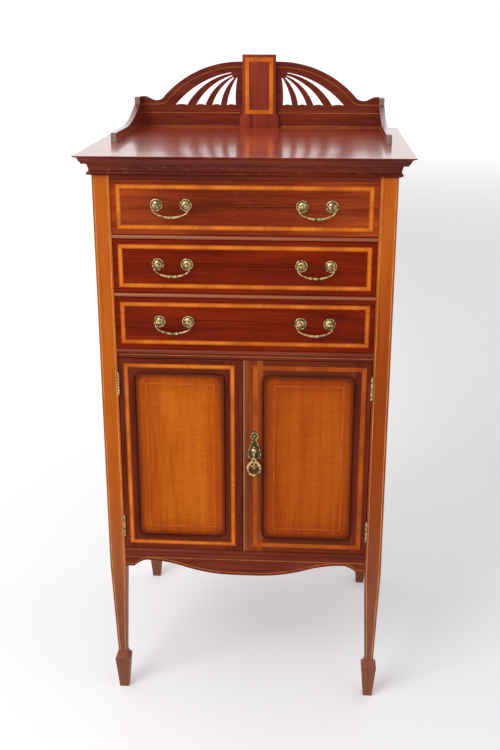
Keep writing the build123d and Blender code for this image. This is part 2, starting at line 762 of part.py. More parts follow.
def drawer_box(index):
    """Sides and back, and a bottom that slides in grooves; gives back the bottom."""
    low = drawer_floor(index) + DRAWER_PLAY
    top = low + DRAWER_SIDE_HEIGHT
    back, tail = FACE_Y + DRAWER_FRONT_THICK, FACE_Y + DRAWER_LENGTH
    side_out = POST_IN - DRAWER_SIDE_PLAY
    side_in = side_out - DRAWER_SIDE_THICK
    groove = side_in + DRAWER_GROOVE
    bottom_z = low + DRAWER_BOTTOM_LIFT
    bottom_top = bottom_z + DRAWER_BOTTOM_THICK
    bottom = block(-groove, groove, back - DRAWER_GROOVE, tail, bottom_z, bottom_top)
    wall = block(side_in, side_out, back, tail, low, top) - bottom
    rear = block(-side_in, side_in, tail - DRAWER_SIDE_THICK, tail, bottom_top, top)
    save(f"drawer_{index}_box", wall, mirrored(wall), rear)
    save(f"drawer_{index}_bottom", bottom)
    return bottom


def drawer(index, bail_shape):
    """One drawer with its two handles."""
    bottom = drawer_box(index)
    drawer_front(index, bottom)
    mounts = []
    for x, z in handle_posts(index):
        mounts.extend([rose(x, z), handle_post(x, z), handle_nut(x, z)])
    save(f"drawer_{index}_handle_mounts", *mounts)
    for side_name, centre, z in handle_places(index):
        save(f"drawer_{index}_bail_{side_name}", Pos(centre, FACE_Y - PIVOT_OUT, z) * bail_shape)


# Doors


def door_box(side):
    """A door's outer limits in X, its low one first, with the stile widths on each side."""
    inner = LEFT_DOOR_IN if side < 0 else RIGHT_DOOR_IN
    if side < 0:
        return -DOOR_OUT, -inner, STILE, MEETING_STILE
    return inner, DOOR_OUT, MEETING_STILE, STILE


def rounded(x0, x1, z0, z1, radius):
    """A rectangle with rounded corners, in X and Z."""
    return Pos((x0 + x1) / 2, (z0 + z1) / 2) * RectangleRounded(x1 - x0, z1 - z0, radius)


def door_frame(side):
    """Two stiles with two rails between them, rounded at the panel opening and rebated behind."""
    x0, x1, left, right = door_box(side)
    z0, z1 = DOOR_BOTTOM, DOOR_HEAD
    a0, a1, c0, c1 = hole = (x0 + left, x1 - right, z0 + DOOR_RAIL, z1 - DOOR_RAIL)
    opening = front_slab(rounded(*hole, PANEL_CORNER), FACE_Y, DOOR_BACK_Y)
    frame = block(x0, x1, FACE_Y, DOOR_BACK_Y, z0, z1) - opening
    front_edges = frame.edges().group_by(Axis.Y)[0]
    lip = [edge for edge in front_edges if edge.length < z1 - z0 - DOOR_RAIL and x0 < edge.center().X < x1
           and z0 < edge.center().Z < z1]
    bed = (a0 - REBATE, a1 + REBATE, c0 - REBATE, c1 + REBATE)
    rebate_y = DOOR_BACK_Y - REBATE_DEPTH
    rebate = block(bed[0], bed[1], rebate_y, DOOR_BACK_Y, bed[2], bed[3])
    frame = fillet(lip, FRAME_ROUND) - rebate
    members = [
        block(x0, a0, FACE_Y, DOOR_BACK_Y, z0, z1),
        block(a1, x1, FACE_Y, DOOR_BACK_Y, z0, z1),
        block(a0, a1, FACE_Y, DOOR_BACK_Y, c1 - PANEL_CORNER, z1),
        block(a0, a1, FACE_Y, DOOR_BACK_Y, z0, c0 + PANEL_CORNER),
    ]
    return [frame & member for member in members], hole, bed, rebate_y


def door_panel(hole, bed, rebate_y):
    """The veneered panel: a softly edged field, just below the frame's face, on a wider flange."""
    fit = PANEL_FIT
    field_face = rounded(hole[0] + fit, hole[1] - fit, hole[2] + fit, hole[3] - fit, PANEL_CORNER - fit)
    field = front_slab(field_face, FACE_Y + PANEL_SINK, rebate_y)
    field = fillet(field.edges().group_by(Axis.Y)[0], PANEL_ROUND)
    flange = block(bed[0], bed[1], rebate_y, rebate_y + PANEL_FLANGE, bed[2], bed[3])
    y0 = FACE_Y + PANEL_SINK
    s = PANEL_STRING_INSET
    strings = mitred_frame(hole[0] + s, hole[1] - s, hole[2] + s, hole[3] - s, STRING, y0, y0 + VENEER)
    return let_in(field + flange, strings), strings


def door_band(side):
    """The crossbanded line round a door's frame."""
    x0, x1, _, _ = door_box(side)
    left = DOOR_BAND_MARGIN if side < 0 else MEETING_BAND_MARGIN
    right = MEETING_BAND_MARGIN if side < 0 else DOOR_BAND_MARGIN
    m = DOOR_BAND_MARGIN
    return mitred_frame(x0 + left, x1 - right, DOOR_BOTTOM + m, DOOR_HEAD - m, BAND, FACE_Y, FACE_Y + VENEER)


def door_leaves(side):
    """The moving leaf of each butt hinge, with the middle knuckle."""
    leaves = []
    for z in hinge_heights():
        third = HINGE_LENGTH / 3
        x0, x1 = sorted((side * DOOR_OUT, side * (DOOR_OUT - LEAF_THICK)))
        flat = block(x0, x1, FACE_Y, FACE_Y + LEAF_WIDTH, z, z + HINGE_LENGTH)
        lo, hi = z + third + KNUCKLE_GAP, z + 2 * third - KNUCKLE_GAP
        neck = block(x0, x1, HINGE_Y, FACE_Y, lo, hi)
        barrel = z_pin(side * HINGE_X, HINGE_Y, lo, hi, KNUCKLE_R)
        bore = z_pin(side * HINGE_X, HINGE_Y, lo, hi, PIN_R + PIN_PLAY)
        leaves.append(flat + neck + barrel - bore)
    return leaves


def fixed_leaves():
    """The leaf on each post with two knuckles, and the loose pin, for four hinges."""
    pieces = []
    third = HINGE_LENGTH / 3
    for side in (-1, 1):
        for z in hinge_heights():
            x0, x1 = sorted((side * POST_IN, side * (POST_IN + LEAF_THICK)))
            leaf = block(x0, x1, FACE_Y, FACE_Y + LEAF_WIDTH, z, z + HINGE_LENGTH)
            top = z + HINGE_LENGTH
            for lo, hi in ((z, z + third - KNUCKLE_GAP), (top - third + KNUCKLE_GAP, top)):
                leaf = leaf + block(x0, x1, HINGE_Y, FACE_Y, lo, hi)
                leaf = leaf + z_pin(side * HINGE_X, HINGE_Y, lo, hi, KNUCKLE_R)
            leaf = leaf - z_pin(side * HINGE_X, HINGE_Y, z, top, PIN_R + PIN_PLAY)
            pin = z_pin(side * HINGE_X, HINGE_Y, z - PIN_HEAD, top + PIN_HEAD, PIN_R)
            for lo in (z - PIN_HEAD, top):
                pin = pin + z_pin(side * HINGE_X, HINGE_Y, lo, lo + PIN_HEAD, PIN_HEAD_R)
            pieces.extend([leaf, pin])
    save("hinge_fixed_leaves", *pieces)


def doors():
    """Both doors with their panels, inlay and hinge leaves."""
    for name, side in (("left", -1), ("right", 1)):
        pieces, hole, bed, rebate_y = door_frame(side)
        panel, strings = door_panel(hole, bed, rebate_y)
        band = door_band(side)
        leaves = door_leaves(side)
        cuts = band + leaves
        if side > 0:
            cuts = cuts + [y_pin(PULL_X, PULL_Z, FACE_Y, DOOR_BACK_Y, SPINDLE_R + SPINDLE_PLAY)]
        save(f"door_{name}_frame", *[let_in(piece, cuts) for piece in pieces])
        save(f"door_{name}_panel", panel)
        if side > 0:
            hidden = y_pin(PULL_X, PULL_Z, FACE_Y, FACE_Y + VENEER, SPINDLE_R + SPINDLE_PLAY)
            band = [strip - hidden for strip in band]
        save(f"door_{name}_inlay", *band, *strings)
        save(f"door_{name}_hinge_leaves", *leaves)


def meeting_bead():
    """The half-round bead on the right door's meeting edge."""
    z0, z1 = DOOR_BOTTOM, DOOR_HEAD
    nose, back = FACE_Y - BEAD_PROUD, FACE_Y + BEAD_DEPTH
    half = BEAD_WIDTH / 2
    edges = [
        ThreePointArc((-half, FACE_Y), (0, nose), (half, FACE_Y)),
        Line((half, FACE_Y), (half, back)),
        Line((half, back), (-half, back)),
        Line((-half, back), (-half, FACE_Y)),
    ]
    save("meeting_bead", Pos(0, 0, z0) * extrude(make_face(edges), amount=z1 - z0))


def pull_plate():
    """The cast backplate: pear-shaped body, waist, lobe and tip, with a raised rim and two pins."""
    def disc(radius, rise):
        return Pos(PULL_X, PULL_Z + rise) * Circle(radius)

    body = make_hull((disc(PLATE_BODY_R, -PLATE_BODY_DROP) + disc(PLATE_WAIST_R, PLATE_WAIST_RISE)).edges())
    lobe = make_hull((disc(PLATE_LOBE_R, PLATE_LOBE_RISE) + disc(PLATE_TIP_R, PLATE_TIP_RISE)).edges())
    inner_body = make_hull((disc(PLATE_BODY_R - PLATE_RIM, -PLATE_BODY_DROP)
                            + disc(PLATE_WAIST_R - PLATE_RIM, PLATE_WAIST_RISE)).edges())
    inner_lobe = disc(PLATE_LOBE_R - PLATE_RIM, PLATE_LOBE_RISE)
    face = FACE_Y - PLATE_THICK
    plate = front_slab(body + lobe, face, FACE_Y)
    plate = plate - front_slab(inner_body + inner_lobe, face, face + PLATE_SINK)
    floor = face + PLATE_SINK
    plate = plate - y_pin(PULL_X, PULL_Z, face, FACE_Y, SPINDLE_R + SPINDLE_PLAY)
    pins = []
    for rise in (PLATE_LOBE_RISE, -PLATE_BODY_DROP - PLATE_BODY_R / 2):
        pins.append(y_pin(PULL_X, PULL_Z + rise, floor - PLATE_SINK, floor, PLATE_PIN_R))
    save("pull_plate", plate, *pins)


def knob():
    """The turned knob: foot, hollow neck and a domed head."""
    section = make_face([
        Line((0, 0), (KNOB_FOOT_R, 0)),
        Line((KNOB_FOOT_R, 0), (KNOB_FOOT_R, KNOB_FOOT)),
        ThreePointArc((KNOB_FOOT_R, KNOB_FOOT), (KNOB_NECK_R, KNOB_HOLLOW), (KNOB_NECK_R, KNOB_NECK)),
        ThreePointArc((KNOB_NECK_R, KNOB_NECK), (KNOB_R, (KNOB_NECK + KNOB_OUT) / 2), (0, KNOB_OUT)),
        Line((0, KNOB_OUT), (0, 0)),
    ])
    return Pos(PULL_X, FACE_Y - PLATE_THICK, PULL_Z) * mirror(revolve(section, axis=Axis.Y), about=Plane.XZ)


def catch_tongue(y0):
    """The tongue on the spindle behind the door, and the nut that keeps it there."""
    y1 = y0 + TONGUE_THICK
    tail = y1 + CATCH_NUT_THICK
    half = TONGUE_WIDTH / 2
    end = PULL_Z + TONGUE_LENGTH - half
    tongue = block(PULL_X - half, PULL_X + half, y0, y1, PULL_Z, end)
    tongue = tongue + y_pin(PULL_X, PULL_Z, y0, y1, half) + y_pin(PULL_X, end, y0, y1, half)
    nut = y_pin(PULL_X, PULL_Z, y1, tail, CATCH_NUT_R)
    bore = y_pin(PULL_X, PULL_Z, y0, tail, SPINDLE_R)
    return tongue - bore, nut - bore


def turning_catch():
    """The knob with its spindle and lug, and the tongue that it turns behind the left door."""
    tongue_y = DOOR_BACK_Y + TONGUE_GAP
    spindle_end = tongue_y + TONGUE_THICK + CATCH_NUT_THICK
    spindle = y_pin(PULL_X, PULL_Z, FACE_Y - PLATE_THICK, spindle_end, SPINDLE_R)
    y, z = FACE_Y - DROP_OUT, PULL_Z - DROP_PIVOT
    x0, x1 = PULL_X - LUG_WIDTH / 2, PULL_X + LUG_WIDTH / 2
    lug = block(x0, x1, y - LUG_THICK / 2, y + LUG_THICK / 2, z, PULL_Z)
    eye = x_pin(y, z, x0, x1, LUG_THICK / 2)
    hole = x_pin(y, z, x0, x1, PIN_R + PIN_PLAY)
    save("turning_catch", knob() + spindle + lug + eye - hole, *catch_tongue(tongue_y))


def drop_ring():
    """The openwork drop: an oval ring with two scrolls and a bud, hung from a pin."""
    y, z = FACE_Y - DROP_OUT, PULL_Z - DROP_PIVOT
    centre = z - DROP_FROM_PIVOT
    y0, y1 = y - DROP_THICK / 2, y + DROP_THICK / 2

    def oval(grow):
        return Pos(PULL_X, centre) * Ellipse(DROP_HALF_WIDTH + grow, DROP_HALF_HEIGHT + grow)

    def scroll(x, height):
        return Pos(PULL_X + x, height) * (Circle(SCROLL_R) - Circle(SCROLL_R - SCROLL_WIRE))

    hoop = oval(0) - oval(-DROP_WIRE)
    scroll_z = centre + DROP_HALF_HEIGHT - DROP_WIRE - SCROLL_R
    stem_foot = scroll_z + SCROLL_R / 2 - STEM_LENGTH
    scrolls = scroll(-SCROLL_X, scroll_z) + scroll(SCROLL_X, scroll_z)
    stem = Pos(PULL_X, stem_foot + STEM_LENGTH / 2) * Rectangle(STEM_WIDTH, STEM_LENGTH)
    bud = Pos(PULL_X, stem_foot) * Circle(BUD_R)
    body = front_slab(hoop + scrolls + stem + bud, y0, y1)
    inner = LUG_WIDTH / 2 + DROP_SIDE_PLAY
    outer = inner + DROP_EAR
    ear_foot = centre + DROP_HALF_HEIGHT - DROP_WIRE / 2
    for x0, x1 in ((-outer, -inner), (inner, outer)):
        body = body + block(PULL_X + x0, PULL_X + x1, y0, y1, ear_foot, z)
        body = body + x_pin(y, z, PULL_X + x0, PULL_X + x1, DROP_EYE_R)
    save("drop_ring", body + x_pin(y, z, PULL_X - outer, PULL_X + outer, PIN_R))


def door_bolt():
    """The small bolt that holds the left door: a case with a bore and a slot, and a knobbed rod."""
    top = DOOR_HEAD - BOLT_CASE_DROP
    bottom = top - BOLT_CASE_HEIGHT
    x0, x1 = BOLT_X - BOLT_CASE_WIDTH / 2, BOLT_X + BOLT_CASE_WIDTH / 2
    case = block(x0, x1, DOOR_BACK_Y, DOOR_BACK_Y + BOLT_CASE_THICK, bottom, top)
    rod_top = DOOR_HEAD - BOLT_BELOW_TOP
    rod = z_pin(BOLT_X, BOLT_Y, rod_top - BOLT_LENGTH, rod_top, BOLT_R)
    knob_z = bottom + BOLT_CASE_HEIGHT / 2 - BOLT_TRAVEL / 2
    knob = y_pin(BOLT_X, knob_z, BOLT_Y, BOLT_Y + BOLT_KNOB_OUT, BOLT_KNOB_R)
    case = case - z_pin(BOLT_X, BOLT_Y, bottom, top, BOLT_R + BOLT_PLAY)
    clear = BOLT_KNOB_R + BOLT_SLOT_PLAY
    slot = block(BOLT_X - clear, BOLT_X + clear, BOLT_Y, DOOR_BACK_Y + BOLT_CASE_THICK,
                 knob_z - clear, knob_z + BOLT_TRAVEL + clear)
    save("bolt_case", case - slot)
    save("bolt_rod", rod + knob)


# Gallery


def arch_edges(inset):
    """Half of the fret board's upper line, or of a line inset from it, and where it ends."""
    radius = ARCH_R - inset
    centre_z = TOP_Z + ARCH_RISE - ARCH_R
    crown = (ARCH_FLAT, centre_z + radius)

    def on_arch(x):
        return (x, centre_z + sqrt(radius ** 2 - (x - ARCH_FLAT) ** 2))

    end = on_arch(ARCH_END)
    return Line((0, crown[1]), crown), ThreePointArc(crown, on_arch(ARCH_MIDDLE), end), end


def fan_slot(tip_x, tip_rise, outer, inner, outer_bow, inner_bow):
    """One pierced slot of the fan, in X and Z on the right-hand side."""
    foot = TOP_Z + SLOT_FOOT_RISE
    tip = TOP_Z + tip_rise
    out_tip, in_tip = (tip_x + SLOT_TIP / 2, tip + SLOT_TIP / 2), (tip_x - SLOT_TIP / 2, tip - SLOT_TIP / 2)

    def bowed(a, b, bow):
        length = sqrt((b[0] - a[0]) ** 2 + (b[1] - a[1]) ** 2)
        normal = (-(b[1] - a[1]) / length, (b[0] - a[0]) / length)
        return ((a[0] + b[0]) / 2 + bow * normal[0], (a[1] + b[1]) / 2 + bow * normal[1])

    a, b = (outer, foot), (inner, foot)
    return make_face([
        ThreePointArc(out_tip, bowed(out_tip, a, outer_bow), a),
        ThreePointArc(a, ((a[0] + b[0]) / 2, foot + SLOT_SCALLOP), b),
        ThreePointArc(b, bowed(in_tip, b, inner_bow), in_tip),
        Line(in_tip, out_tip),
    ])


def gallery_board():
    """The fretted board: arch, dips and horns above, four slots a side, and its strings."""
    crown, arch, arch_end = arch_edges(0)
    dip, horn = (DIP_X, TOP_Z + DIP_RISE), (HORN_X, TOP_Z + HORN_RISE)
    shelf = TOP_Z + GALLERY_END_RISE
    right = [
        crown,
        arch,
        ThreePointArc(arch_end, dip, horn),
        Line(horn, (HORN_END, shelf)),
        Line((HORN_END, shelf), (GALLERY_HALF, shelf)),
        Line((GALLERY_HALF, shelf), (GALLERY_HALF, TOP_Z)),
    ]
    base = [Line((-GALLERY_HALF, TOP_Z), (GALLERY_HALF, TOP_Z))]
    face = make_face(right + [mirror(edge, about=Plane.YZ) for edge in right] + base)
    board = front_slab(face, GALLERY_FRONT_Y, GALLERY_BACK_Y)
    for row in SLOTS:
        slot = front_slab(fan_slot(*row), GALLERY_FRONT_Y, GALLERY_BACK_Y)
        board = board - slot - mirrored(slot)
    strings = gallery_strings()
    save("gallery_board", let_in(board, strings))
    return strings


def gallery_strings():
    """Strings let into the fret board: one under the arch and two level ones."""
    y0, y1 = GALLERY_FRONT_Y, GALLERY_FRONT_Y + VENEER
    end = BRACKET_IN
    outer_crown, outer_arc, outer_end = arch_edges(ARCH_STRING_IN)
    inner_crown, inner_arc, inner_end = arch_edges(ARCH_STRING_IN + STRING)
    level = TOP_Z + END_STRING_RISE
    crown_end = Line(outer_crown @ 1, inner_crown @ 1)
    bow = make_face([outer_arc, inner_arc, crown_end, Line(outer_end, inner_end)])
    high, low = (outer_crown @ 1).Y, (inner_crown @ 1).Y
    flat = polygon((TABLET_HALF, low), (TABLET_HALF, high), (ARCH_FLAT, high), (ARCH_FLAT, low))
    tail = polygon(outer_end, (END_STRING_X, level), (end, level), (end, level - STRING),
                   (END_STRING_X - STRING, level - STRING), inner_end)
    arc = front_slab(bow + flat + tail, y0, y1)
    strings = [arc, mirrored(arc)]
    for rise in (BOARD_STRING_RISE, BASE_STRING_RISE):
        z = TOP_Z + rise
        strip = block(TABLET_BASE_HALF, end, y0, y1, z - STRING, z)
        strings.extend([strip, mirrored(strip)])
    return strings


def gallery_tablet():
    """The upright tablet in the middle, with sloped shoulders on a wider base and a crossband."""
    base, shoulder, top = TOP_Z + TABLET_BASE_RISE, TOP_Z + TABLET_SHOULDER_RISE, TOP_Z + TABLET_RISE
    face = polygon(
        (-TABLET_BASE_HALF, TOP_Z), (TABLET_BASE_HALF, TOP_Z), (TABLET_BASE_HALF, base),
        (TABLET_HALF, shoulder), (TABLET_HALF, top), (-TABLET_HALF, top),
        (-TABLET_HALF, shoulder), (-TABLET_BASE_HALF, base))
    y0 = TABLET_FRONT_Y
    m = TABLET_BAND_MARGIN
    band = mitred_frame(-TABLET_HALF + m, TABLET_HALF - m, TOP_Z + TABLET_BAND_FOOT, top - m,
                        TABLET_BAND, y0, y0 + VENEER)
    save("gallery_tablet", let_in(front_slab(face, y0, GALLERY_FRONT_Y), band))
    return band


def gallery_brackets():
    """The end brackets that run forward along the top from the fret board."""
    def at(forward, rise):
        return (GALLERY_FRONT_Y - forward, TOP_Z + rise)

    step = BRACKET_BACK + BRACKET_STEP
    mid = ((step + BRACKET_SWEEP) / 2, (BRACKET_STEP_RISE + BRACKET_SWEEP_RISE) / 2 - BRACKET_SWEEP_SAG)
    face = make_face([
        Line(at(0, 0), at(0, BRACKET_RISE)),
        Line(at(0, BRACKET_RISE), at(BRACKET_BACK, BRACKET_RISE)),
        Line(at(BRACKET_BACK, BRACKET_RISE), at(BRACKET_BACK, BRACKET_STEP_RISE)),
        Line(at(BRACKET_BACK, BRACKET_STEP_RISE), at(step, BRACKET_STEP_RISE)),
        ThreePointArc(at(step, BRACKET_STEP_RISE), at(*mid), at(BRACKET_SWEEP, BRACKET_SWEEP_RISE)),
        Line(at(BRACKET_SWEEP, BRACKET_SWEEP_RISE), at(BRACKET_LENGTH, BRACKET_END_RISE)),
        Line(at(BRACKET_LENGTH, BRACKET_END_RISE), at(BRACKET_LENGTH, 0)),
        Line(at(BRACKET_LENGTH, 0), at(0, 0)),
    ])
    front = GALLERY_FRONT_Y - BRACKET_LENGTH + BRACKET_STRING_FROM_FRONT
    z = TOP_Z + BRACKET_STRING_RISE
    string = block(BRACKET_IN, BRACKET_IN + VENEER, front, GALLERY_FRONT_Y, z - STRING, z)
    bracket = side_slab(face, BRACKET_IN, BRACKET_OUT) - string
    save("gallery_bracket_right", bracket)
    save("gallery_bracket_left", mirrored(bracket))
    return [string, mirrored(string)]


def main():
    os.makedirs("parts", exist_ok=True)
    strings = legs()
    case_boards()
    top_board()
    cornice()
    strings += rails()
    strings += apron()
    save("carcass_stringing", *strings)
    cupboard_inside()
    runners()
    bail_shape = bail()
    for index in range(1, DRAWER_COUNT + 1):
        drawer(index, bail_shape)
    fixed_leaves()
    doors()
    meeting_bead()
    pull_plate()
    turning_catch()
    drop_ring()
    door_bolt()
    inlay = gallery_board()
    inlay += gallery_tablet()
    inlay += gallery_brackets()
    save("gallery_inlay", *inlay)


main()
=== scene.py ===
"""Finishes, screws, light and camera for an inlaid mahogany music cabinet.

Lengths are in metres unless a name ends in _mm. X runs to the right, Y to the back and Z up.
"""

import math

import bpy
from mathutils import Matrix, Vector


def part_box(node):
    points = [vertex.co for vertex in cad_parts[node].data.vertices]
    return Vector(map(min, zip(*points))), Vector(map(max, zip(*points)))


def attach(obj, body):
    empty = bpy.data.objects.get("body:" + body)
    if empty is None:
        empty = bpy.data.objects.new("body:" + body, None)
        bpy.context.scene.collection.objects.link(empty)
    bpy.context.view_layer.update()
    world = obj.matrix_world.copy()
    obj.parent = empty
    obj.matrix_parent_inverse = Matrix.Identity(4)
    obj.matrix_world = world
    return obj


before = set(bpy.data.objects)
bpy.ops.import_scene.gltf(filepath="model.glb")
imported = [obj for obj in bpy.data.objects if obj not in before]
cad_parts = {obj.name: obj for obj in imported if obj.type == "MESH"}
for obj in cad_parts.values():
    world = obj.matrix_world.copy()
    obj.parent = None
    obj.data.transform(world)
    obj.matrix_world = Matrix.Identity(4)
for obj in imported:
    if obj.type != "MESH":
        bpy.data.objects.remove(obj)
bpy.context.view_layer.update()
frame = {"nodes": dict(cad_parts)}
NODES = frame["nodes"]

bl_info = {
    "name": "Music cabinet finishes",
    "version": (1, 0, 0),
    "blender": (4, 5, 0),
    "location": "3D View > Sidebar > Music cabinet",
    "description": "Polished and inlaid woods, aged brass, hinge screws, floor and light for a music cabinet",
    "category": "Object",
}

MM = 0.001
WHITE = (1.0, 1.0, 1.0)
DRAWERS = (1, 2, 3)
SIDES = ("left", "right")
RUNS = {"across": 0, "back": 1, "up": 2}

# Where a piece changes finish: how far in from its edge, out from its middle or back from its face.
LEVEL_FACE = 0.9
PANEL_FLANGE = 7.0 * MM
DRAWER_BACK = 10.0 * MM
DRAWER_SIDE = 9.5 * MM
DOOR_BAND_REACH = 10.0 * MM
DOOR_BAND_WIDTH = 8.0 * MM
TABLET_INLAY_DEPTH = 2.0 * MM
TABLET_INLAY_HALF = 40.0 * MM
TABLET_UPRIGHTS_FROM = 20.0 * MM
ANY_DEPTH = 1.0

# Planes of the case.
FRONT_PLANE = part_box("drawer_1_banding")[0].y
CASE_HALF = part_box("front_leg_right")[1].x
DOOR_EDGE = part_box("door_right_frame")[1].x
POST_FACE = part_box("apron")[1].x

# Kinds of shader node, and the settings that many of them share.
MATH = "ShaderNodeMath"
VECTORS = "ShaderNodeVectorMath"
RANGE = "ShaderNodeMapRange"
MIX = "ShaderNodeMix"
AXES = "ShaderNodeSeparateXYZ"
TIMES = {"operation": "MULTIPLY"}
TIMES_PLUS = {"operation": "MULTIPLY_ADD"}
LARGER = {"operation": "MAXIMUM"}
UNSIGNED = {"operation": "ABSOLUTE"}
NUMBERS = {"data_type": "FLOAT"}
GLAZE = {"blend_type": "MULTIPLY"}
EVEN = {"interpolation_type": "LINEAR"}
USUAL = {MIX: {"data_type": "RGBA"}, RANGE: {"interpolation_type": "SMOOTHSTEP"}}

# How each wood's tone strays from its middle: factors for its darkest and for its palest streaks.
MAHOGANY = ((0.62, 0.56, 0.60), (1.38, 1.65, 1.40))
GOLDEN = ((0.86, 0.74, 0.70), (1.12, 1.22, 1.15))
INNER = ((0.70, 0.66, 0.60), (1.22, 1.22, 1.20))
SATINWOOD = ((0.78, 0.66, 0.62), (1.22, 1.30, 1.20))
BOXWOOD = ((0.72, 0.60, 0.60), (1.0, 1.0, 1.0))

# How shiny the shellac is on each part.
RAIL_SHEEN = {"gloss": 0.4, "specular": 0.06}
CORNICE_SHEEN = {"gloss": 0.5, "specular": 0.05, "flecks": 0.45}
DRAWER_SHEEN = {"gloss": 0.1, "specular": 0.03}
BRACKET_SHEEN = {"specular": 0.4, "coat_ior": 1.45}

# Factors of a finish where it is darker: unfaded, under painted shade, rippled, along a leg's outer corners
# or at a band's dirty edges.
UNFADED_TINT = (0.68, 0.56, 0.62)
CORNER_TINT = (0.35, 0.35, 0.50)
FRAME_SHADE_TINT = (0.80, 0.70, 0.80)
BROAD_SHADE_TINT = (0.70, 0.52, 0.52)
FIDDLEBACK_TINT = (0.93, 0.88, 0.88)
BAND_EDGE_TINT = (0.62, 0.48, 0.52)

# Length and width of the cells of each pattern.
CLOUD_CELLS = (200.0 * MM, 75.0 * MM)
MOULDING_KNOCK_CELLS = (15.0 * MM, 2.0 * MM)
LEG_KNOCK_CELLS = (5.0 * MM, 2.5 * MM)
CRACK_CELLS = (9.0 * MM, 1.3 * MM)
RIPPLE_CELLS = (120.0 * MM, 30.0 * MM)
FIDDLEBACK_CELLS = (22.0 * MM, 3.2 * MM)
VENEER_CELLS = (55.0 * MM, 500.0 * MM)
STREAK_CELLS = (1.1 * MM, 30.0 * MM)
BOXWOOD_CELLS = (30.0 * MM, 30.0 * MM)
BLOTCH_CELLS = (4.0 * MM, 4.0 * MM)

# How many times longer than wide the stripes, streaks and pores are.
FIGURE_STRETCH = 18
FIBRE_STRETCH = 40
PORE_STRETCH = 16

# Where soft noise from 0 to 1 starts and ends its turn into a mark.
DARK_STREAKS = (0.38, 0.50)
PALE_STREAKS = (0.50, 0.62)
PORES = (0.60, 0.72)
MOULDING_KNOCKS = (0.60, 0.69)
LEG_KNOCKS = (0.74, 0.80)
CRACKS = (0.60, 0.70)
FIDDLEBACK = (0.42, 0.62)
VENEER_TONES = (0.50, 0.95)
BOXWOOD_PATCHES = (0.35, 0.65)
BRASS_BLOTCHES = (0.42, 0.66)

# How much each pattern, stain or painted shade counts.
FIGURE_SHARE = 0.42
FIBRE_SHARE = 0.30
CLOUD_SHARE = 0.28
STREAK_SHARE = 0.5
PORE_DARKNESS = 0.26
CRACK_PALENESS = 0.32
LEG_KNOCK_PALENESS = 0.4
CORNER_DARKENING = 0.6
FRAME_SHADE = 0.75
BORDER_SHADE = 0.85
TARNISH_SHARE = 0.86

# Where a finish changes, from where to where.
FADED_FROM_MIDDLE = (40.0 * MM, 190.0 * MM)
CRACKED_ABOUT_MIDDLE = (90.0 * MM, 20.0 * MM)
GOLDEN_HEIGHTS = (600.0 * MM, 950.0 * MM)
BROWN_HEIGHTS = (60.0 * MM, 540.0 * MM)
# How far behind a rail's nose its paler strip of wear and painted highlight runs.
WORN_AND_HIGHLIT_BEHIND_EDGE = (0.3 * MM, 2.4 * MM)
DARK_CORNER_WIDTHS = (2.0 * MM, 0.8 * MM)
DARK_CORNER_DEPTHS = (4.0 * MM, 1.5 * MM)
BAND_EDGE = (3.0 * MM, 0.3 * MM)
FRAME_SHADE_WIDTH = 11.0 * MM
BORDER_FULL = 0.8 * MM
# How far the broad painted shade's middle is moved to the right, so that the panel's left is shaded more.
BROAD_ASIDE = 8.0 * MM
FULL_TARNISH = 1.05 * MM

# How the surfaces take the light.
WOOD_IOR = 1.5
FAINTEST = 0.0001
PORE_DEPTH = 0.05 * MM
RIPPLE_ROUGHNESS = (0.27, 0.32)
BRASS_ROUGHNESS = (0.20, 0.46)

# What counts as one place and as a sharp edge, and the nodes whose edges stay crisp.
SAME_PLACE = 0.01 * MM
SHARP = math.cos(math.radians(38))
INLAY_WORDS = ("inlay", "banding", "stringing")

# The ring's scrolls and rim: places and radii as shares of its inner radius, thicknesses of its wire.
ROD_SIDES = 8
SCROLL_WIRE = 0.62
SCROLL_STEPS = 22
SCROLL_TURN = 1.9 * math.pi
SCROLL_START = -0.55 * math.pi
SCROLL_FOOT = (0.18, -0.72)
SCROLL_CENTRE = (0.48, -0.05)
SCROLL_RADIUS = 0.44
SCROLL_SHRINK = 0.26
STEM_STEPS = 4
RIM_STEPS = 40
RIM_START = math.radians(-240)
RIM_TURN = math.radians(300)
RIM_WIDTH = 1.4
RIM_DEPTH = 0.95

# The hinge screws.
SCREW_SIDES = 20
SCREW_DOME = 0.35
SCREW_DOME_WIDTH = 0.6
SCREWS_PER_LEAF = 3
SCREW_FROM_FRONT = 8.5 * MM
FIRST_SLOT_TURN = 0.5
NEXT_SLOT_TURN = 1.3

# The floor's reach and shading in metres, the shares of its lift, and where the key lamp hangs and looks.
FLOOR_REACH = 60.0
FLOOR_LEFT_TO_RIGHT = (-0.5, 0.7)
FLOOR_BESIDE_TO_BEHIND = (0.5, 2.4)
FLOOR_BEHIND_TO_FAR = (3.5, 12.0)
# On the right the floor keeps only these shares of its glow, a painted shade that leaves the left brighter.
RIGHT_BESIDE = 0.65
RIGHT_BEHIND = 0.28
HORIZON_LIFT = 0.6
KEY_PLACE = (-2.1, -2.7, 2.9)
KEY_TARGET = (0.0, 0.0, 0.65)


def from_hex(code):
    """Linear red, green and blue from an sRGB hex colour."""
    channels = [int(code[i : i + 2], 16) / 255 for i in (1, 3, 5)]
    return tuple(c / 12.92 if c <= 0.04045 else ((c + 0.055) / 1.055) ** 2.4 for c in channels)


def colour(name, description, code):
    """A colour that a user may change."""
    return bpy.props.FloatVectorProperty(
        name=name, description=description, default=from_hex(code), subtype="COLOR", size=3, min=0.0, max=1.0
    )


def measure(name, description, value, **kind):
    """A number that a user may change, with its unit and limits."""
    return bpy.props.FloatProperty(name=name, description=description, default=value, **kind)


def length(name, description, size_mm):
    """A length that a user may change."""
    return measure(name, description, size_mm * MM, min=0.0, unit="LENGTH")


def share(name, description, value):
    """A share from 0 to 1 that a user may change."""
    return measure(name, description, value, min=0.0, max=1.0, subtype="FACTOR")


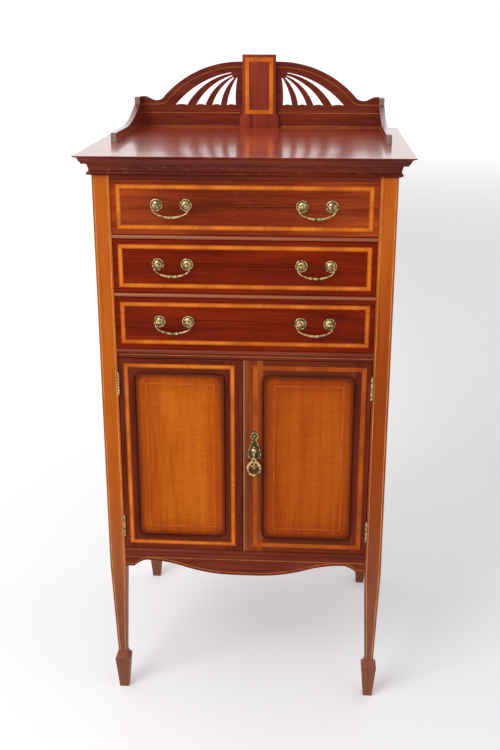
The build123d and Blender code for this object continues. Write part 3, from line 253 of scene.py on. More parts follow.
class CabinetColours(bpy.types.PropertyGroup):
    """Colours of the woods, the inlay and the brass."""

    top_front: colour("Top drawer front", "Sun-faded mahogany of its front", "#943a18")
    front: colour("Drawer fronts", "Deep red mahogany of the lower drawers", "#721c04")
    frame: colour("Door frames", "Darkest mahogany, round the door panels", "#672412")
    right_rails: colour("Right door rails", "Browner mahogany of the right door's rails", "#6a2a10")
    stile: colour("Meeting stile", "Paler mahogany of the stile with the pull", "#853816")
    case: colour("Case", "Mahogany of the sides, rails and gallery", "#6d2412")
    top: colour("Top", "Red mahogany of the mirror-polished top", "#b03a18")
    tablet: colour("Tablet", "Mahogany of the tablet in the gallery", "#85301d")
    leg: colour("Legs", "Golden mahogany beside the drawers", "#ba5c14")
    left_leg: colour("Left leg", "A little darker, on the other legs lower down", "#b6590f")
    # Redder, and darker as painted shade, on the side away from the lamp.
    right_leg: colour("Right leg", "Redder, on the right front leg lower down", "#933c08")
    foot: colour("Feet", "Browner, on all legs near the floor", "#86503c")
    left_panel: colour("Left panel", "Golden veneer of the left door", "#c0600f")
    right_panel: colour("Right panel", "Golden veneer of the right door", "#b3540e")
    border: colour("Panel border", "Dark shading at the edge of a door panel", "#501c0c")
    satinwood: colour("Satinwood", "Orange crossbanding on drawers and doors", "#cf6f20")
    boxwood: colour("Boxwood", "Pale lines let into the posts, rails and gallery", "#dc9c55")
    thin_line: colour("Thin lines", "The same on apron and gallery, darker under more shellac", "#bd7430")
    panel_line: colour("Panel line", "Fine line, little paler than the veneer", "#c4681c")
    end_grain: colour("Bracket ends", "Greyed end grain of the gallery brackets", "#857468")
    # On the rails' rounded edges this paler colour is partly wear and partly a painted highlight; on the
    # mouldings and the cracks it is wear.
    worn: colour("Worn edges", "Rails' rounded edges and knocks on the mouldings", "#b26a3e")
    bead: colour("Meeting bead", "Worn bead between the doors", "#8f5a30")
    secondary: colour("Inner wood", "Bare wood of drawer boxes and runners", "#b98c58")
    backing: colour("Back", "Stained wood of the back panel", "#70421f")
    brass: colour("Brass", "Lightly polished brass", "#c6ad78")
    patina: colour("Patina", "Olive tarnish in the low places of the brass", "#2a1c0c")


class CabinetSizes(bpy.types.PropertyGroup):
    """Sizes of the grain, the worn edges, the shading of the panels and the details of the brass."""

    figure: length("Figure width", "Width of the mahogany's broad stripes", 14.0)
    fibre: length("Fibre width", "Width of a fine streak, drawn coarse enough to show", 1.6)
    pore: length("Pore width", "Width of an open pore, drawn four times too wide so that it shows", 0.8)
    arris: length("Eased arris", "How far wear has rounded the wooden edges", 0.45)
    # A door panel's dark edge is painted shade.
    border: length("Panel border", "Width of a door panel's dark edge", 13.0)
    corner: length("Panel corner", "Radius of the shading's corners", 22.0)
    broad: length("Broad shading", "How far in from its edge a panel starts to darken", 50.0)
    screw: length("Screw head", "Radius of a hinge screw's head", 2.5)
    screw_slot: length("Screw slot", "Width of the slot across a screw head", 0.6)
    screw_proud: length("Screw rise", "How far a screw head stands out of its leaf", 0.2)
    hinge: length("Hinge length", "Length of a hinge leaf", 43.0)
    dirt: length("Tarnish height", "How far tarnish climbs from the wood up the brass", 1.55)


class CabinetStage(bpy.types.PropertyGroup):
    """Floor, light and camera."""

    floor: colour("Floor", "Plain pale studio floor", "#e9e8e9")
    lift: share("Floor lift", "How far the floor is lifted towards white beside the cabinet", 0.26)
    far_lift: share("Far lift", "The same behind it, where the lamp doesn't reach", 0.42)
    ambient: share("Ambient", "Strength of the even light from all round", 0.72)
    key_watts: measure("Key lamp", "Power of the soft lamp at the front left", 76.0, min=0.0, unit="POWER")
    key_size: length("Key size", "Width of that lamp", 2200.0)
    lens_mm: measure("Lens", "Focal length on a sensor 36 mm high", 50.0, min=1.0, unit="CAMERA")
    tilt: measure("Tilt", "How far the camera looks down", math.radians(19.12), subtype="ANGLE")
    turn: measure("Turn", "How far the camera is turned to the left", math.radians(3.70), subtype="ANGLE")
    place: bpy.props.FloatVectorProperty(
        name="Camera place", description="Where the camera stands",
        default=(0.1245, -1.9846, 1.2877), size=3, subtype="TRANSLATION",
    )


def add(tree, kind, inputs=(), **settings):
    """Adds a node with its settings, and its inputs by name or in the order of the sockets in use.

    An input is a value, a socket, or a node that gives its first output in use. A setting that is left out is
    the usual one: colours for a mix, a smooth rise for a range."""
    node = tree.nodes.new(kind)
    for name, value in {**USUAL.get(kind, {}), **settings}.items():
        setattr(node, name, value)
    in_use = [index for index, socket in enumerate(node.inputs) if socket.enabled]
    for key, value in inputs.items() if isinstance(inputs, dict) else zip(in_use, inputs):
        if isinstance(value, bpy.types.Node):
            value = next(output for output in value.outputs if output.enabled)
        if isinstance(value, bpy.types.NodeSocket):
            tree.links.new(value, node.inputs[key])
        else:
            node.inputs[key].default_value = value
    return node


def opaque(rgb):
    """A colour with full alpha."""
    return (*rgb, 1.0)


def tinted(rgb, factors):
    """A colour with each channel scaled."""
    return tuple(min(1.0, c * f) for c, f in zip(rgb, factors))


def new_material(name):
    """An empty material and its tree."""
    material = bpy.data.materials.new(name)
    material.use_nodes = True
    material.node_tree.nodes.clear()
    return material, material.node_tree


def cells(tree, place, run, along, across, detail=2.0, warp=0.0):
    """Soft noise whose cells are along by across in size, drawn out along the grain."""
    scale = [1.0 / across] * 3
    scale[RUNS[run]] = 1.0 / along
    stretched = add(tree, "ShaderNodeMapping", {"Vector": place, "Scale": scale})
    shape = {"Vector": stretched, "Scale": 1.0, "Detail": detail, "Distortion": warp}
    return add(tree, "ShaderNodeTexNoise", shape)


def grain(tree, run, base, tones):
    """Place, colour and pores of wood with its grain along run: stripes, fine streaks and slow clouds."""
    sizes = bpy.context.scene.cabinet_sizes
    place = add(tree, "ShaderNodeTexCoord").outputs["Object"]
    figure = cells(tree, place, run, sizes.figure * FIGURE_STRETCH, sizes.figure, warp=0.5)
    fibre = cells(tree, place, run, sizes.fibre * FIBRE_STRETCH, sizes.fibre, warp=0.1)
    cloud = cells(tree, place, run, *CLOUD_CELLS, detail=1.0, warp=0.3)
    pores = cells(tree, place, run, sizes.pore * PORE_STRETCH, sizes.pore, detail=1.0)
    some = add(tree, MATH, [cloud, CLOUD_SHARE], **TIMES)
    more = add(tree, MATH, [figure, FIGURE_SHARE, some], **TIMES_PLUS)
    tone = add(tree, MATH, [fibre, FIBRE_SHARE, more], **TIMES_PLUS)
    darkest, palest = (opaque(tinted(base, factors)) for factors in tones)
    to_middle = add(tree, RANGE, [tone, *DARK_STREAKS])
    lower = add(tree, MIX, [to_middle, darkest, opaque(base)])
    to_pale = add(tree, RANGE, [tone, *PALE_STREAKS])
    whole = add(tree, MIX, [to_pale, lower, palest])
    pore = add(tree, RANGE, [pores, *PORES])
    depth = add(tree, MATH, [pore, PORE_DARKNESS], **TIMES)
    return place, add(tree, MIX, [depth, whole, darkest]), pore


def polish(tree, surface, relief, specular, bump, coat=0.0, rough=0.45, coat_rough=0.12, coat_ior=1.28):
    """The shader of a wood under its finish, with the pores just felt through it.

    What is left out is that of old shellac: a soft body under a thin coat that reflects little."""
    felt = {"Strength": bump, "Distance": PORE_DEPTH, "Height": relief}
    normal = add(tree, "ShaderNodeBump", felt, invert=True)
    shader = add(tree, "ShaderNodeBsdfPrincipled", {
        "Base Color": surface, "Roughness": rough, "IOR": WOOD_IOR, "Specular IOR Level": specular,
        "Coat Weight": coat, "Coat Roughness": coat_rough, "Coat IOR": coat_ior, "Normal": normal,
    })
    add(tree, "ShaderNodeOutputMaterial", {"Surface": shader})


def shellacked_mahogany(name, run, base, gloss=0.3, specular=0.08, flecks=0.0, worn_and_highlit_front=None, wear_and_highlight=0.6):
    """Mahogany under thin old shellac: deep red-brown stripes under a soft, even gloss.

    flecks is how clearly the small knocks along a moulding show. The next argument is the plane in Y where a
    rounded edge is painted pale, partly as wear and partly as a painted highlight, and the last is how pale
    it is painted."""
    worn = opaque(bpy.context.scene.cabinet_colours.worn)
    material, tree = new_material(name)
    place, surface, pore = grain(tree, run, base, MAHOGANY)
    if flecks:
        knocks = cells(tree, place, run, *MOULDING_KNOCK_CELLS)
        knocked = add(tree, RANGE, [knocks, *MOULDING_KNOCKS, 0.0, flecks])
        surface = add(tree, MIX, [knocked, surface, worn])
    # A paler strip on the front of a rounded edge: partly wear, partly a painted highlight.
    if worn_and_highlit_front is not None:
        depth = add(tree, AXES, [place]).outputs["Y"]
        start, end = (worn_and_highlit_front + behind for behind in WORN_AND_HIGHLIT_BEHIND_EDGE)
        worn_and_highlit = add(tree, RANGE, [depth, start, end, wear_and_highlight, 0.0])
        surface = add(tree, MIX, [worn_and_highlit, surface, worn])
    polish(tree, surface, pore, specular, bump=0.25, coat=gloss)
    return material


def sun_faded_mahogany(name, base):
    """Mahogany bleached by light towards both ends, its old shellac finely cracked about the middle."""
    material, tree = new_material(name)
    place, wood, pore = grain(tree, "across", base, MAHOGANY)
    across = add(tree, AXES, [place]).outputs["X"]
    from_middle = add(tree, MATH, [across], **UNSIGNED)
    ends = add(tree, RANGE, [from_middle, *FADED_FROM_MIDDLE])
    toned = add(tree, MIX, [ends, opaque(UNFADED_TINT), opaque(WHITE)])
    faded = add(tree, MIX, [1.0, wood, toned], **GLAZE)
    cracks = cells(tree, place, "across", *CRACK_CELLS, warp=1.2)
    cracked = add(tree, RANGE, [cracks, *CRACKS])
    about_middle = add(tree, RANGE, [from_middle, *CRACKED_ABOUT_MIDDLE, 0.0, CRACK_PALENESS])
    shown = add(tree, MATH, [cracked, about_middle], **TIMES)
    surface = add(tree, MIX, [shown, faded, opaque(bpy.context.scene.cabinet_colours.worn)])
    polish(tree, surface, pore, specular=0.03, bump=0.25, coat=0.1)
    return material


def mirror_polished_mahogany(name, run, base, specular=0.8, coat_ior=2.0):
    """Mahogany french polished to a mirror: at a low angle it shows the gallery and the white room."""
    material, tree = new_material(name)
    place, surface, pore = grain(tree, run, base, MAHOGANY)
    ripple = cells(tree, place, run, *RIPPLE_CELLS, detail=1.0)
    rough = add(tree, RANGE, [ripple, 0.0, 1.0, *RIPPLE_ROUGHNESS], **EVEN)
    mirror = {"rough": rough, "coat_rough": 0.13, "coat_ior": coat_ior}
    polish(tree, surface, pore, specular, bump=0.03, coat=1.0, **mirror)
    return material


def golden_leg_mahogany(name, middle):
    """Straight-grained golden mahogany under shellac, browner towards the floor, with dark outer corners.

    middle is its colour between the drawers and the floor of the case."""
    colours = bpy.context.scene.cabinet_colours
    material, tree = new_material(name)
    place, high, pore = grain(tree, "up", colours.leg, GOLDEN)
    axes = add(tree, AXES, [place])
    across, back, up = (axes.outputs[axis] for axis in "XYZ")
    half_way, foot = (
        add(tree, MIX, [1.0, high, opaque(a / max(b, FAINTEST) for a, b in zip(tone, colours.leg))], **GLAZE)
        for tone in (middle, colours.foot)
    )
    golden = add(tree, RANGE, [up, *GOLDEN_HEIGHTS])
    upper = add(tree, MIX, [golden, half_way, high])
    off_floor = add(tree, RANGE, [up, *BROWN_HEIGHTS])
    toned = add(tree, MIX, [off_floor, foot, upper])
    knocks = cells(tree, place, "up", *LEG_KNOCK_CELLS, detail=1.0)
    knocked = add(tree, RANGE, [knocks, *LEG_KNOCKS, 0.0, LEG_KNOCK_PALENESS])
    marked = add(tree, MIX, [knocked, toned, opaque(colours.boxwood)])
    # Darker along the outer front corners of the leg.
    from_middle = add(tree, MATH, [across], **UNSIGNED)
    start, end = (CASE_HALF - inside for inside in DARK_CORNER_WIDTHS)
    edge = add(tree, RANGE, [from_middle, start, end])
    start, end = (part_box("front_leg_left")[0].y + behind for behind in DARK_CORNER_DEPTHS)
    in_front = add(tree, RANGE, [back, start, end, 0.0, CORNER_DARKENING])
    darkened_corner = add(tree, MATH, [edge, in_front], **TIMES)
    surface = add(tree, MIX, [darkened_corner, marked, opaque(tinted(colours.leg, CORNER_TINT))])
    polish(tree, surface, pore, specular=0.06, bump=0.2, coat=0.15, coat_rough=0.15, coat_ior=1.3)
    return material


def past_field(tree, place, node, inset, aside=0.0):
    """How far past a field a place lies, across and up, whatever its depth.

    The field is the node's box less inset on each side, moved aside to the right."""
    low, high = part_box(node)
    centre = [(a + b) / 2 for a, b in zip(low, high)]
    centre[0] += aside
    half = [(b - a) / 2 - inset for a, b in zip(low, high)]
    from_middle = add(tree, VECTORS, [place, centre], operation="SUBTRACT")
    folded = add(tree, VECTORS, [from_middle], **UNSIGNED)
    return add(tree, VECTORS, [folded, (half[0], ANY_DEPTH, half[2])], operation="SUBTRACT")


def from_panel_edge(tree, place, node, corner, aside=0.0):
    """How far a place lies out from the middle field of a door panel. At the panel's edge that is corner."""
    past = past_field(tree, place, node, PANEL_FLANGE + corner, aside)
    outside = add(tree, VECTORS, [past, (0.0, 0.0, 0.0)], **LARGER)
    return add(tree, VECTORS, [outside], operation="LENGTH")


def shaded_frame_mahogany(name, run, base, node):
    """Door-frame mahogany under shellac, darkened towards the panel by painted shade so that its edge looks
    soft.
    """
    corner = bpy.context.scene.cabinet_sizes.corner
    border = bpy.context.scene.cabinet_colours.border
    material, tree = new_material(name)
    place, wood, pore = grain(tree, run, base, MAHOGANY)
    reach = from_panel_edge(tree, place, node, corner)
    # Painted shade: the frame darkens towards the panel's opening.
    painted_shade = add(tree, RANGE, [reach, corner, corner + FRAME_SHADE_WIDTH, FRAME_SHADE, 0.0])
    surface = add(tree, MIX, [painted_shade, wood, opaque(tinted(border, FRAME_SHADE_TINT))])
    polish(tree, surface, pore, specular=0.04, bump=0.25, coat=0.15)
    return material


def shaded_panel_veneer(name, node, base):
    """Golden veneer under shellac, darkened by painted shade in a soft border that follows the rounded
    opening and, more broadly, towards its edges.
    """
    sizes = bpy.context.scene.cabinet_sizes
    border = bpy.context.scene.cabinet_colours.border
    material, tree = new_material(name)
    place, wood, pore = grain(tree, "up", base, GOLDEN)
    # Broad painted shade: the panel darkens towards its edges, more on the left.
    broad_reach = from_panel_edge(tree, place, node, sizes.broad, BROAD_ASIDE)
    broad = add(tree, RANGE, [broad_reach, 0.0, sizes.broad])
    wood = add(tree, MIX, [broad, wood, opaque(BROAD_SHADE_TINT)], **GLAZE)
    ripples = cells(tree, place, "across", *FIDDLEBACK_CELLS, detail=1.0, warp=0.4)
    fiddleback = add(tree, RANGE, [ripples, *FIDDLEBACK])
    wood = add(tree, MIX, [fiddleback, wood, opaque(FIDDLEBACK_TINT)], **GLAZE)
    # Painted shade in a soft dark border along the panel's rounded edge.
    painted_shade = add(tree, MIX, [BORDER_SHADE, wood, opaque(border)])
    reach = from_panel_edge(tree, place, node, sizes.corner)
    shade = add(tree, RANGE, [reach, sizes.corner - sizes.border, sizes.corner - BORDER_FULL])
    surface = add(tree, MIX, [shade, wood, painted_shade])
    polish(tree, surface, pore, specular=0.04, bump=0.15, coat=0.12)
    return material


def band_width(node):
    """Width of the band round a drawer front or a door, from its two outermost upright lines."""
    lines = sorted({round(vertex.co.x, 5) for vertex in NODES[node].data.vertices})
    return lines[1] - lines[0]


def crossbanded_satinwood(name, run, node=None):
    """Satinwood laid in short lengths across the band: bright orange, with a change of tone at each joint.

    Round the front that node gives, shellac and dirt have darkened both edges of the band."""
    base = bpy.context.scene.cabinet_colours.satinwood
    material, tree = new_material(name)
    place = add(tree, "ShaderNodeTexCoord").outputs["Object"]
    length_of_veneer = cells(tree, place, run, *VENEER_CELLS, detail=1.0)
    streak = cells(tree, place, run, *STREAK_CELLS, detail=1.0)
    both = add(tree, MATH, [streak, STREAK_SHARE, length_of_veneer], **TIMES_PLUS)
    tone = add(tree, RANGE, [both, *VENEER_TONES])
    dark, pale = (opaque(tinted(base, factors)) for factors in SATINWOOD)
    surface = add(tree, MIX, [tone, dark, pale])
    if node:
        half_width = band_width(node) / 2
        past = add(tree, AXES, [past_field(tree, place, node, half_width)])
        inward = add(tree, MATH, [past.outputs["X"], past.outputs["Z"]], **LARGER)
        off_line = add(tree, MATH, [inward], **UNSIGNED)
        start, end = (half_width - inside for inside in BAND_EDGE)
        edges = add(tree, RANGE, [off_line, start, end])
        surface = add(tree, MIX, [edges, surface, opaque(BAND_EDGE_TINT)], **GLAZE)
    polish(tree, surface, streak, specular=0.04, bump=0.05, coat=0.12)
    return material


def both_runs(name, node=None):
    """The level and the upright crossbands of one front."""
    runs = (("level", "across"), ("upright", "up"))
    return [crossbanded_satinwood(f"{name}_{part}", run, node) for part, run in runs]


def boxwood_line(name, base):
    """Boxwood line, yellowed under the shellac: pale, close-grained and almost plain."""
    material, tree = new_material(name)
    place = add(tree, "ShaderNodeTexCoord").outputs["Object"]
    patch = cells(tree, place, "up", *BOXWOOD_CELLS)
    tone = add(tree, RANGE, [patch, *BOXWOOD_PATCHES])
    dark, pale = (opaque(tinted(base, factors)) for factors in BOXWOOD)
    surface = add(tree, MIX, [tone, dark, pale])
    polish(tree, surface, patch, specular=0.1, bump=0.02, coat=0.2, coat_rough=0.15, coat_ior=1.3)
    return material


def worn_mahogany(name, base):
    """Mahogany rubbed pale and grey by hands and dusters, as on the meeting bead and the bracket ends."""
    material, tree = new_material(name)
    _, surface, pore = grain(tree, "up", base, GOLDEN)
    polish(tree, surface, pore, specular=0.3, bump=0.1, rough=0.4)
    return material


def planed_inner_wood(name, run, base):
    """Softwood planed and left bare or stained: matt, with soft streaks."""
    material, tree = new_material(name)
    _, surface, pore = grain(tree, run, base, INNER)
    polish(tree, surface, pore, specular=0.2, bump=0.4, rough=0.68)
    return material


def aged_brass(name, wood_face):
    """Lacquer-worn cast brass: pale yellow on the high rims, olive where polish hasn't reached.

    wood_face is the plane in Y that the fitting stands on, or None where it has no such plane."""
    colours = bpy.context.scene.cabinet_colours
    material, tree = new_material(name)
    place = add(tree, "ShaderNodeTexCoord").outputs["Object"]
    blotch = cells(tree, place, "up", *BLOTCH_CELLS)
    tarnish = add(tree, RANGE, [blotch, *BRASS_BLOTCHES])
    if wood_face is not None:
        depth = add(tree, AXES, [place]).outputs["Y"]
        clean, full = wood_face - bpy.context.scene.cabinet_sizes.dirt, wood_face - FULL_TARNISH
        low = add(tree, RANGE, [depth, clean, full])
        tarnish = add(tree, MATH, [low, tarnish], **LARGER)
    amount = add(tree, MATH, [tarnish, TARNISH_SHARE], **TIMES)
    surface = add(tree, MIX, [amount, opaque(colours.brass), opaque(colours.patina)])
    rough = add(tree, RANGE, [tarnish, 0.0, 1.0, *BRASS_ROUGHNESS], **EVEN)
    metal = {"Base Color": surface, "Metallic": 1.0, "Roughness": rough}
    shader = add(tree, "ShaderNodeBsdfPrincipled", metal)
    add(tree, "ShaderNodeOutputMaterial", {"Surface": shader})
    return material


def finish(name, material, easing=0.0):
    """Gives a whole CAD node one finish, and rounds its outer edges by easing."""
    mesh = NODES[name].data
    mesh.materials.clear()
    mesh.materials.append(material)
    mesh.polygons.foreach_set("material_index", [0] * len(mesh.polygons))
    if easing:
        ease(name, easing)


def finish_by_place(name, materials, choose, easing=0.0):
    """Gives each face of a CAD node the finish that choose picks for it."""
    finish(name, materials[0], easing)
    mesh = NODES[name].data
    for other in materials[1:]:
        mesh.materials.append(other)
    mesh.polygons.foreach_set("material_index", [choose(face) for face in mesh.polygons])


def spot(point):
    """A point as a whole number of steps of SAME_PLACE, so that equal places compare equal."""
    return tuple(round(value / SAME_PLACE) for value in point)


INLAY_SPOTS = {
    spot(vertex.co)
    for name, node in NODES.items()
    if any(word in name for word in INLAY_WORDS)
    for vertex in node.data.vertices
}


def ease(name, radius):
    """Rounds the outer wooden edges a little, as wear does, but not the edges against an inlaid strip."""
    node = NODES[name]
    mesh = node.data
    spots = [spot(vertex.co) for vertex in mesh.vertices]
    sides = {}
    for polygon in mesh.polygons:
        for a, b in polygon.edge_keys:
            sides.setdefault(frozenset((spots[a], spots[b])), []).append((polygon.normal, polygon.center))
    weights = []
    for edge in mesh.edges:
        key = frozenset(spots[v] for v in edge.vertices)
        faces = sides.get(key, [])
        weight = 0.0
        if len(faces) == 2 and not key <= INLAY_SPOTS:
            (normal_a, centre_a), (normal_b, centre_b) = faces
            sticks_out = (centre_b - centre_a).dot(normal_a) < 0.0
            weight = float(normal_a.dot(normal_b) < SHARP and sticks_out)
        weights.append(weight)
    layer = "bevel_weight_edge"
    attribute = mesh.attributes.get(layer) or mesh.attributes.new(layer, "FLOAT", "EDGE")
    attribute.data.foreach_set("value", weights)
    weld = node.modifiers.new("JoinedCorners", "WELD")
    weld.merge_threshold = SAME_PLACE
    bevel = node.modifiers.new("EasedArris", "BEVEL")
    bevel.width = radius
    bevel.segments = 2
    bevel.limit_method = "WEIGHT"
    bevel.use_clamp_overlap = False
    bevel.harden_normals = True


class CABINET_OT_case(bpy.types.Operator):
    """Finishes the legs, sides, back, rails, apron, floor, shelf and runners"""

    bl_idname = "cabinet.case"
    bl_label = "Case and legs"

    def execute(self, context):
        colours = context.scene.cabinet_colours
        arris = context.scene.cabinet_sizes.arris
        legs = golden_leg_mahogany("golden_mahogany_shellacked_legs", colours.left_leg)
        # The right front leg is redder, and darker as painted shade on the side away from the lamp.
        redder_and_shaded = golden_leg_mahogany("red_mahogany_shaded_right_leg", colours.right_leg)
        sides = shellacked_mahogany("mahogany_shellacked_sides", "up", colours.case)
        rails = shellacked_mahogany("mahogany_shellacked_rails", "across", colours.case, **RAIL_SHEEN)
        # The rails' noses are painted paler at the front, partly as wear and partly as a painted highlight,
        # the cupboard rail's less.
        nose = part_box("drawer_rail_upper")[0].y
        bright = shellacked_mahogany(
            "mahogany_worn_and_highlit_drawer_rails", "across", colours.case, gloss=1.0, worn_and_highlit_front=nose
        )
        dull = shellacked_mahogany(
            "mahogany_worn_and_highlit_cupboard_rail", "across", colours.case,
            worn_and_highlit_front=nose, wear_and_highlight=0.12, **RAIL_SHEEN,
        )
        for end in ("front", "rear"):
            for side in SIDES:
                finish(f"{end}_leg_{side}", redder_and_shaded if (end, side) == ("front", "right") else legs, arris)
        for side in SIDES:
            finish(f"side_panel_{side}", sides)
        finish("back_panel", planed_inner_wood("pine_planed_and_stained_back", "up", colours.backing))
        for name in ("drawer_rail_upper", "drawer_rail_middle", "cupboard_rail"):
            finish(name, dull if name == "cupboard_rail" else bright, arris / 2)
        for name in ("top_rail", "apron", "cupboard_floor", "cupboard_shelf"):
            finish(name, rails, arris / 2)
        runners = planed_inner_wood("pine_planed_bare_runners", "back", colours.secondary)
        finish("drawer_runners", runners)
        finish("shelf_battens", runners)
        return {"FINISHED"}


class CABINET_OT_top(bpy.types.Operator):
    """Finishes the polished top board and the cornice under it"""

    bl_idname = "cabinet.top"
    bl_label = "Top and cornice"

    def execute(self, context):
        colours = context.scene.cabinet_colours
        arris = context.scene.cabinet_sizes.arris
        mirror = mirror_polished_mahogany("mahogany_french_polished_top", "across", colours.top)
        edge = shellacked_mahogany("mahogany_shellacked_top_edge", "across", colours.case, gloss=0.6)
        finish_by_place("top_board", [mirror, edge], lambda face: int(face.normal.z < LEVEL_FACE), arris)
        front, ends = (
            shellacked_mahogany(f"mahogany_shellacked_cornice_{part}", run, colours.case, **CORNICE_SHEEN)
            for part, run in (("front", "across"), ("ends", "back"))
        )
        finish_by_place(
            "cornice_moulding", [front, ends], lambda face: int(abs(face.center.x) > CASE_HALF), arris / 2
        )
        return {"FINISHED"}


class CABINET_OT_gallery(bpy.types.Operator):
    """Finishes the fret board, the tablet and the two brackets on the top"""

    bl_idname = "cabinet.gallery"
    bl_label = "Gallery"

    def execute(self, context):
        colours = context.scene.cabinet_colours
        arris = context.scene.cabinet_sizes.arris
        fret = shellacked_mahogany("mahogany_shellacked_fret", "across", colours.case)
        finish("gallery_board", fret, arris / 2)
        tablet = shellacked_mahogany("mahogany_shellacked_tablet", "up", colours.tablet)
        finish("gallery_tablet", tablet, arris)
        faces = mirror_polished_mahogany(
            "mahogany_french_polished_brackets", "back", colours.case, **BRACKET_SHEEN
        )
        worn = worn_mahogany("mahogany_greyed_bracket_ends", colours.end_grain)
        for side in SIDES:
            bracket = f"gallery_bracket_{side}"
            finish_by_place(bracket, [faces, worn], lambda face: int(face.normal.y < -LEVEL_FACE), arris)
        return {"FINISHED"}


class CABINET_OT_drawers(bpy.types.Operator):
    """Finishes the three drawers, with fronts of polished mahogany and boxes of plain wood"""

    bl_idname = "cabinet.drawers"
    bl_label = "Drawers"

    def execute(self, context):
        colours = context.scene.cabinet_colours
        arris = context.scene.cabinet_sizes.arris
        faded = sun_faded_mahogany("mahogany_sun_faded_top_drawer_front", colours.top_front)
        deep = shellacked_mahogany(
            "mahogany_shellacked_lower_drawer_fronts", "across", colours.front, **DRAWER_SHEEN
        )
        lengthwise = planed_inner_wood("pine_planed_drawer_sides", "back", colours.secondary)
        crosswise = planed_inner_wood("pine_planed_drawer_backs", "across", colours.secondary)
        for n in DRAWERS:
            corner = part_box(f"drawer_{n}_box")[1]
            back, inner = corner.y - DRAWER_BACK, corner.x - DRAWER_SIDE
            finish(f"drawer_{n}_front", faded if n == 1 else deep, arris)
            finish_by_place(
                f"drawer_{n}_box", [lengthwise, crosswise],
                lambda face, back=back, inner=inner: int(face.center.y > back and abs(face.center.x) < inner),
            )
            finish(f"drawer_{n}_bottom", crosswise)
        return {"FINISHED"}


class CABINET_OT_doors(bpy.types.Operator):
    """Finishes the door frames, their shaded panels and the bead between the doors"""

    bl_idname = "cabinet.doors"
    bl_label = "Doors"

    def execute(self, context):
        colours = context.scene.cabinet_colours
        arris = context.scene.cabinet_sizes.arris
        woods = {
            "left": (colours.left_panel, colours.frame, colours.frame, colours.frame),
            "right": (colours.right_panel, colours.right_rails, colours.stile, colours.frame),
        }
        names, runs = ("rails", "left_stile", "right_stile"), ("across", "up", "up")
        for side, (base, *frame_woods) in woods.items():
            panel = f"door_{side}_panel"
            low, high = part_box(panel)
            left, right = low.x + PANEL_FLANGE, high.x - PANEL_FLANGE
            members = [
                shaded_frame_mahogany(f"mahogany_shaded_{side}_door_{member}", run, wood, panel)
                for member, run, wood in zip(names, runs, frame_woods)
            ]

            def pick_member(face, left=left, right=right):
                return 1 if face.center.x < left else 2 * int(face.center.x > right)

            finish_by_place(f"door_{side}_frame", members, pick_member, arris / 2)
            finish(panel, shaded_panel_veneer(f"mahogany_veneer_shaded_{side}_panel", panel, base))
        finish("meeting_bead", worn_mahogany("mahogany_worn_meeting_bead", colours.bead))
        return {"FINISHED"}


class CABINET_OT_inlay(bpy.types.Operator):
    """Finishes the satinwood crossbanding and the boxwood lines"""

    bl_idname = "cabinet.inlay"
    bl_label = "Inlay"

    def execute(self, context):
        colours = context.scene.cabinet_colours
        line = boxwood_line("boxwood_line_under_shellac", colours.boxwood)
        fine = boxwood_line("boxwood_fine_line_in_panels", colours.panel_line)
        thin = boxwood_line("boxwood_thin_line_under_shellac", colours.thin_line)
        finish_by_place("carcass_stringing", [thin, line], lambda face: int(abs(face.center.x) > POST_FACE))
        for n in DRAWERS:
            banding = f"drawer_{n}_banding"
            low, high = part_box(banding)
            left, right = low.x + band_width(banding), high.x - band_width(banding)
            finish_by_place(
                banding, both_runs(f"satinwood_crossband_drawer_{n}", banding),
                lambda face, left=left, right=right: int(not left < face.center.x < right),
            )
        for side in SIDES:
            low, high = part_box(f"door_{side}_inlay")

            def pick_band(face, low=low, high=high):
                from_side = min(face.center.x - low.x, high.x - face.center.x)
                from_end = min(face.center.z - low.z, high.z - face.center.z)
                if min(from_side, from_end) > DOOR_BAND_REACH:
                    return 2
                return int(from_side < DOOR_BAND_WIDTH)

            bands = both_runs(f"satinwood_crossband_{side}_door", f"door_{side}_inlay")
            finish_by_place(f"door_{side}_inlay", [*bands, fine], pick_band)
        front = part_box("gallery_tablet")[0].y + TABLET_INLAY_DEPTH

        def pick_gallery(face):
            from_middle = abs(face.center.x)
            if face.center.y > front or from_middle > TABLET_INLAY_HALF:
                return 2
            return int(from_middle > TABLET_UPRIGHTS_FROM)

        finish_by_place("gallery_inlay", [*both_runs("satinwood_crossband_tablet"), thin], pick_gallery)
        return {"FINISHED"}


class CABINET_OT_brass(bpy.types.Operator):
    """Finishes the handles, pull, catch, ring, bolt and hinges"""

    bl_idname = "cabinet.brass"
    bl_label = "Brass"

    def execute(self, context):
        mounts = aged_brass("brass_cast_and_aged_mounts", FRONT_PLANE)
        loose = aged_brass("brass_cast_and_handled", None)
        for n in DRAWERS:
            finish(f"drawer_{n}_handle_mounts", mounts)
            for side in SIDES:
                finish(f"drawer_{n}_bail_{side}", loose)
        finish("pull_plate", mounts)
        for side in SIDES:
            finish(f"door_{side}_hinge_leaves", loose)
        for name in ("turning_catch", "drop_ring", "bolt_case", "bolt_rod", "hinge_fixed_leaves"):
            finish(name, loose)
        return {"FINISHED"}


def new_piece(name, points, faces, materials):
    """A piece of the scene's own, from its points and faces."""
    mesh = bpy.data.meshes.new(name)
    mesh.from_pydata(points, [], faces)
    mesh.validate()
    for material in materials:
        mesh.materials.append(material)
    piece = bpy.data.objects.new(name, mesh)
    bpy.context.scene.collection.objects.link(piece)
    return piece


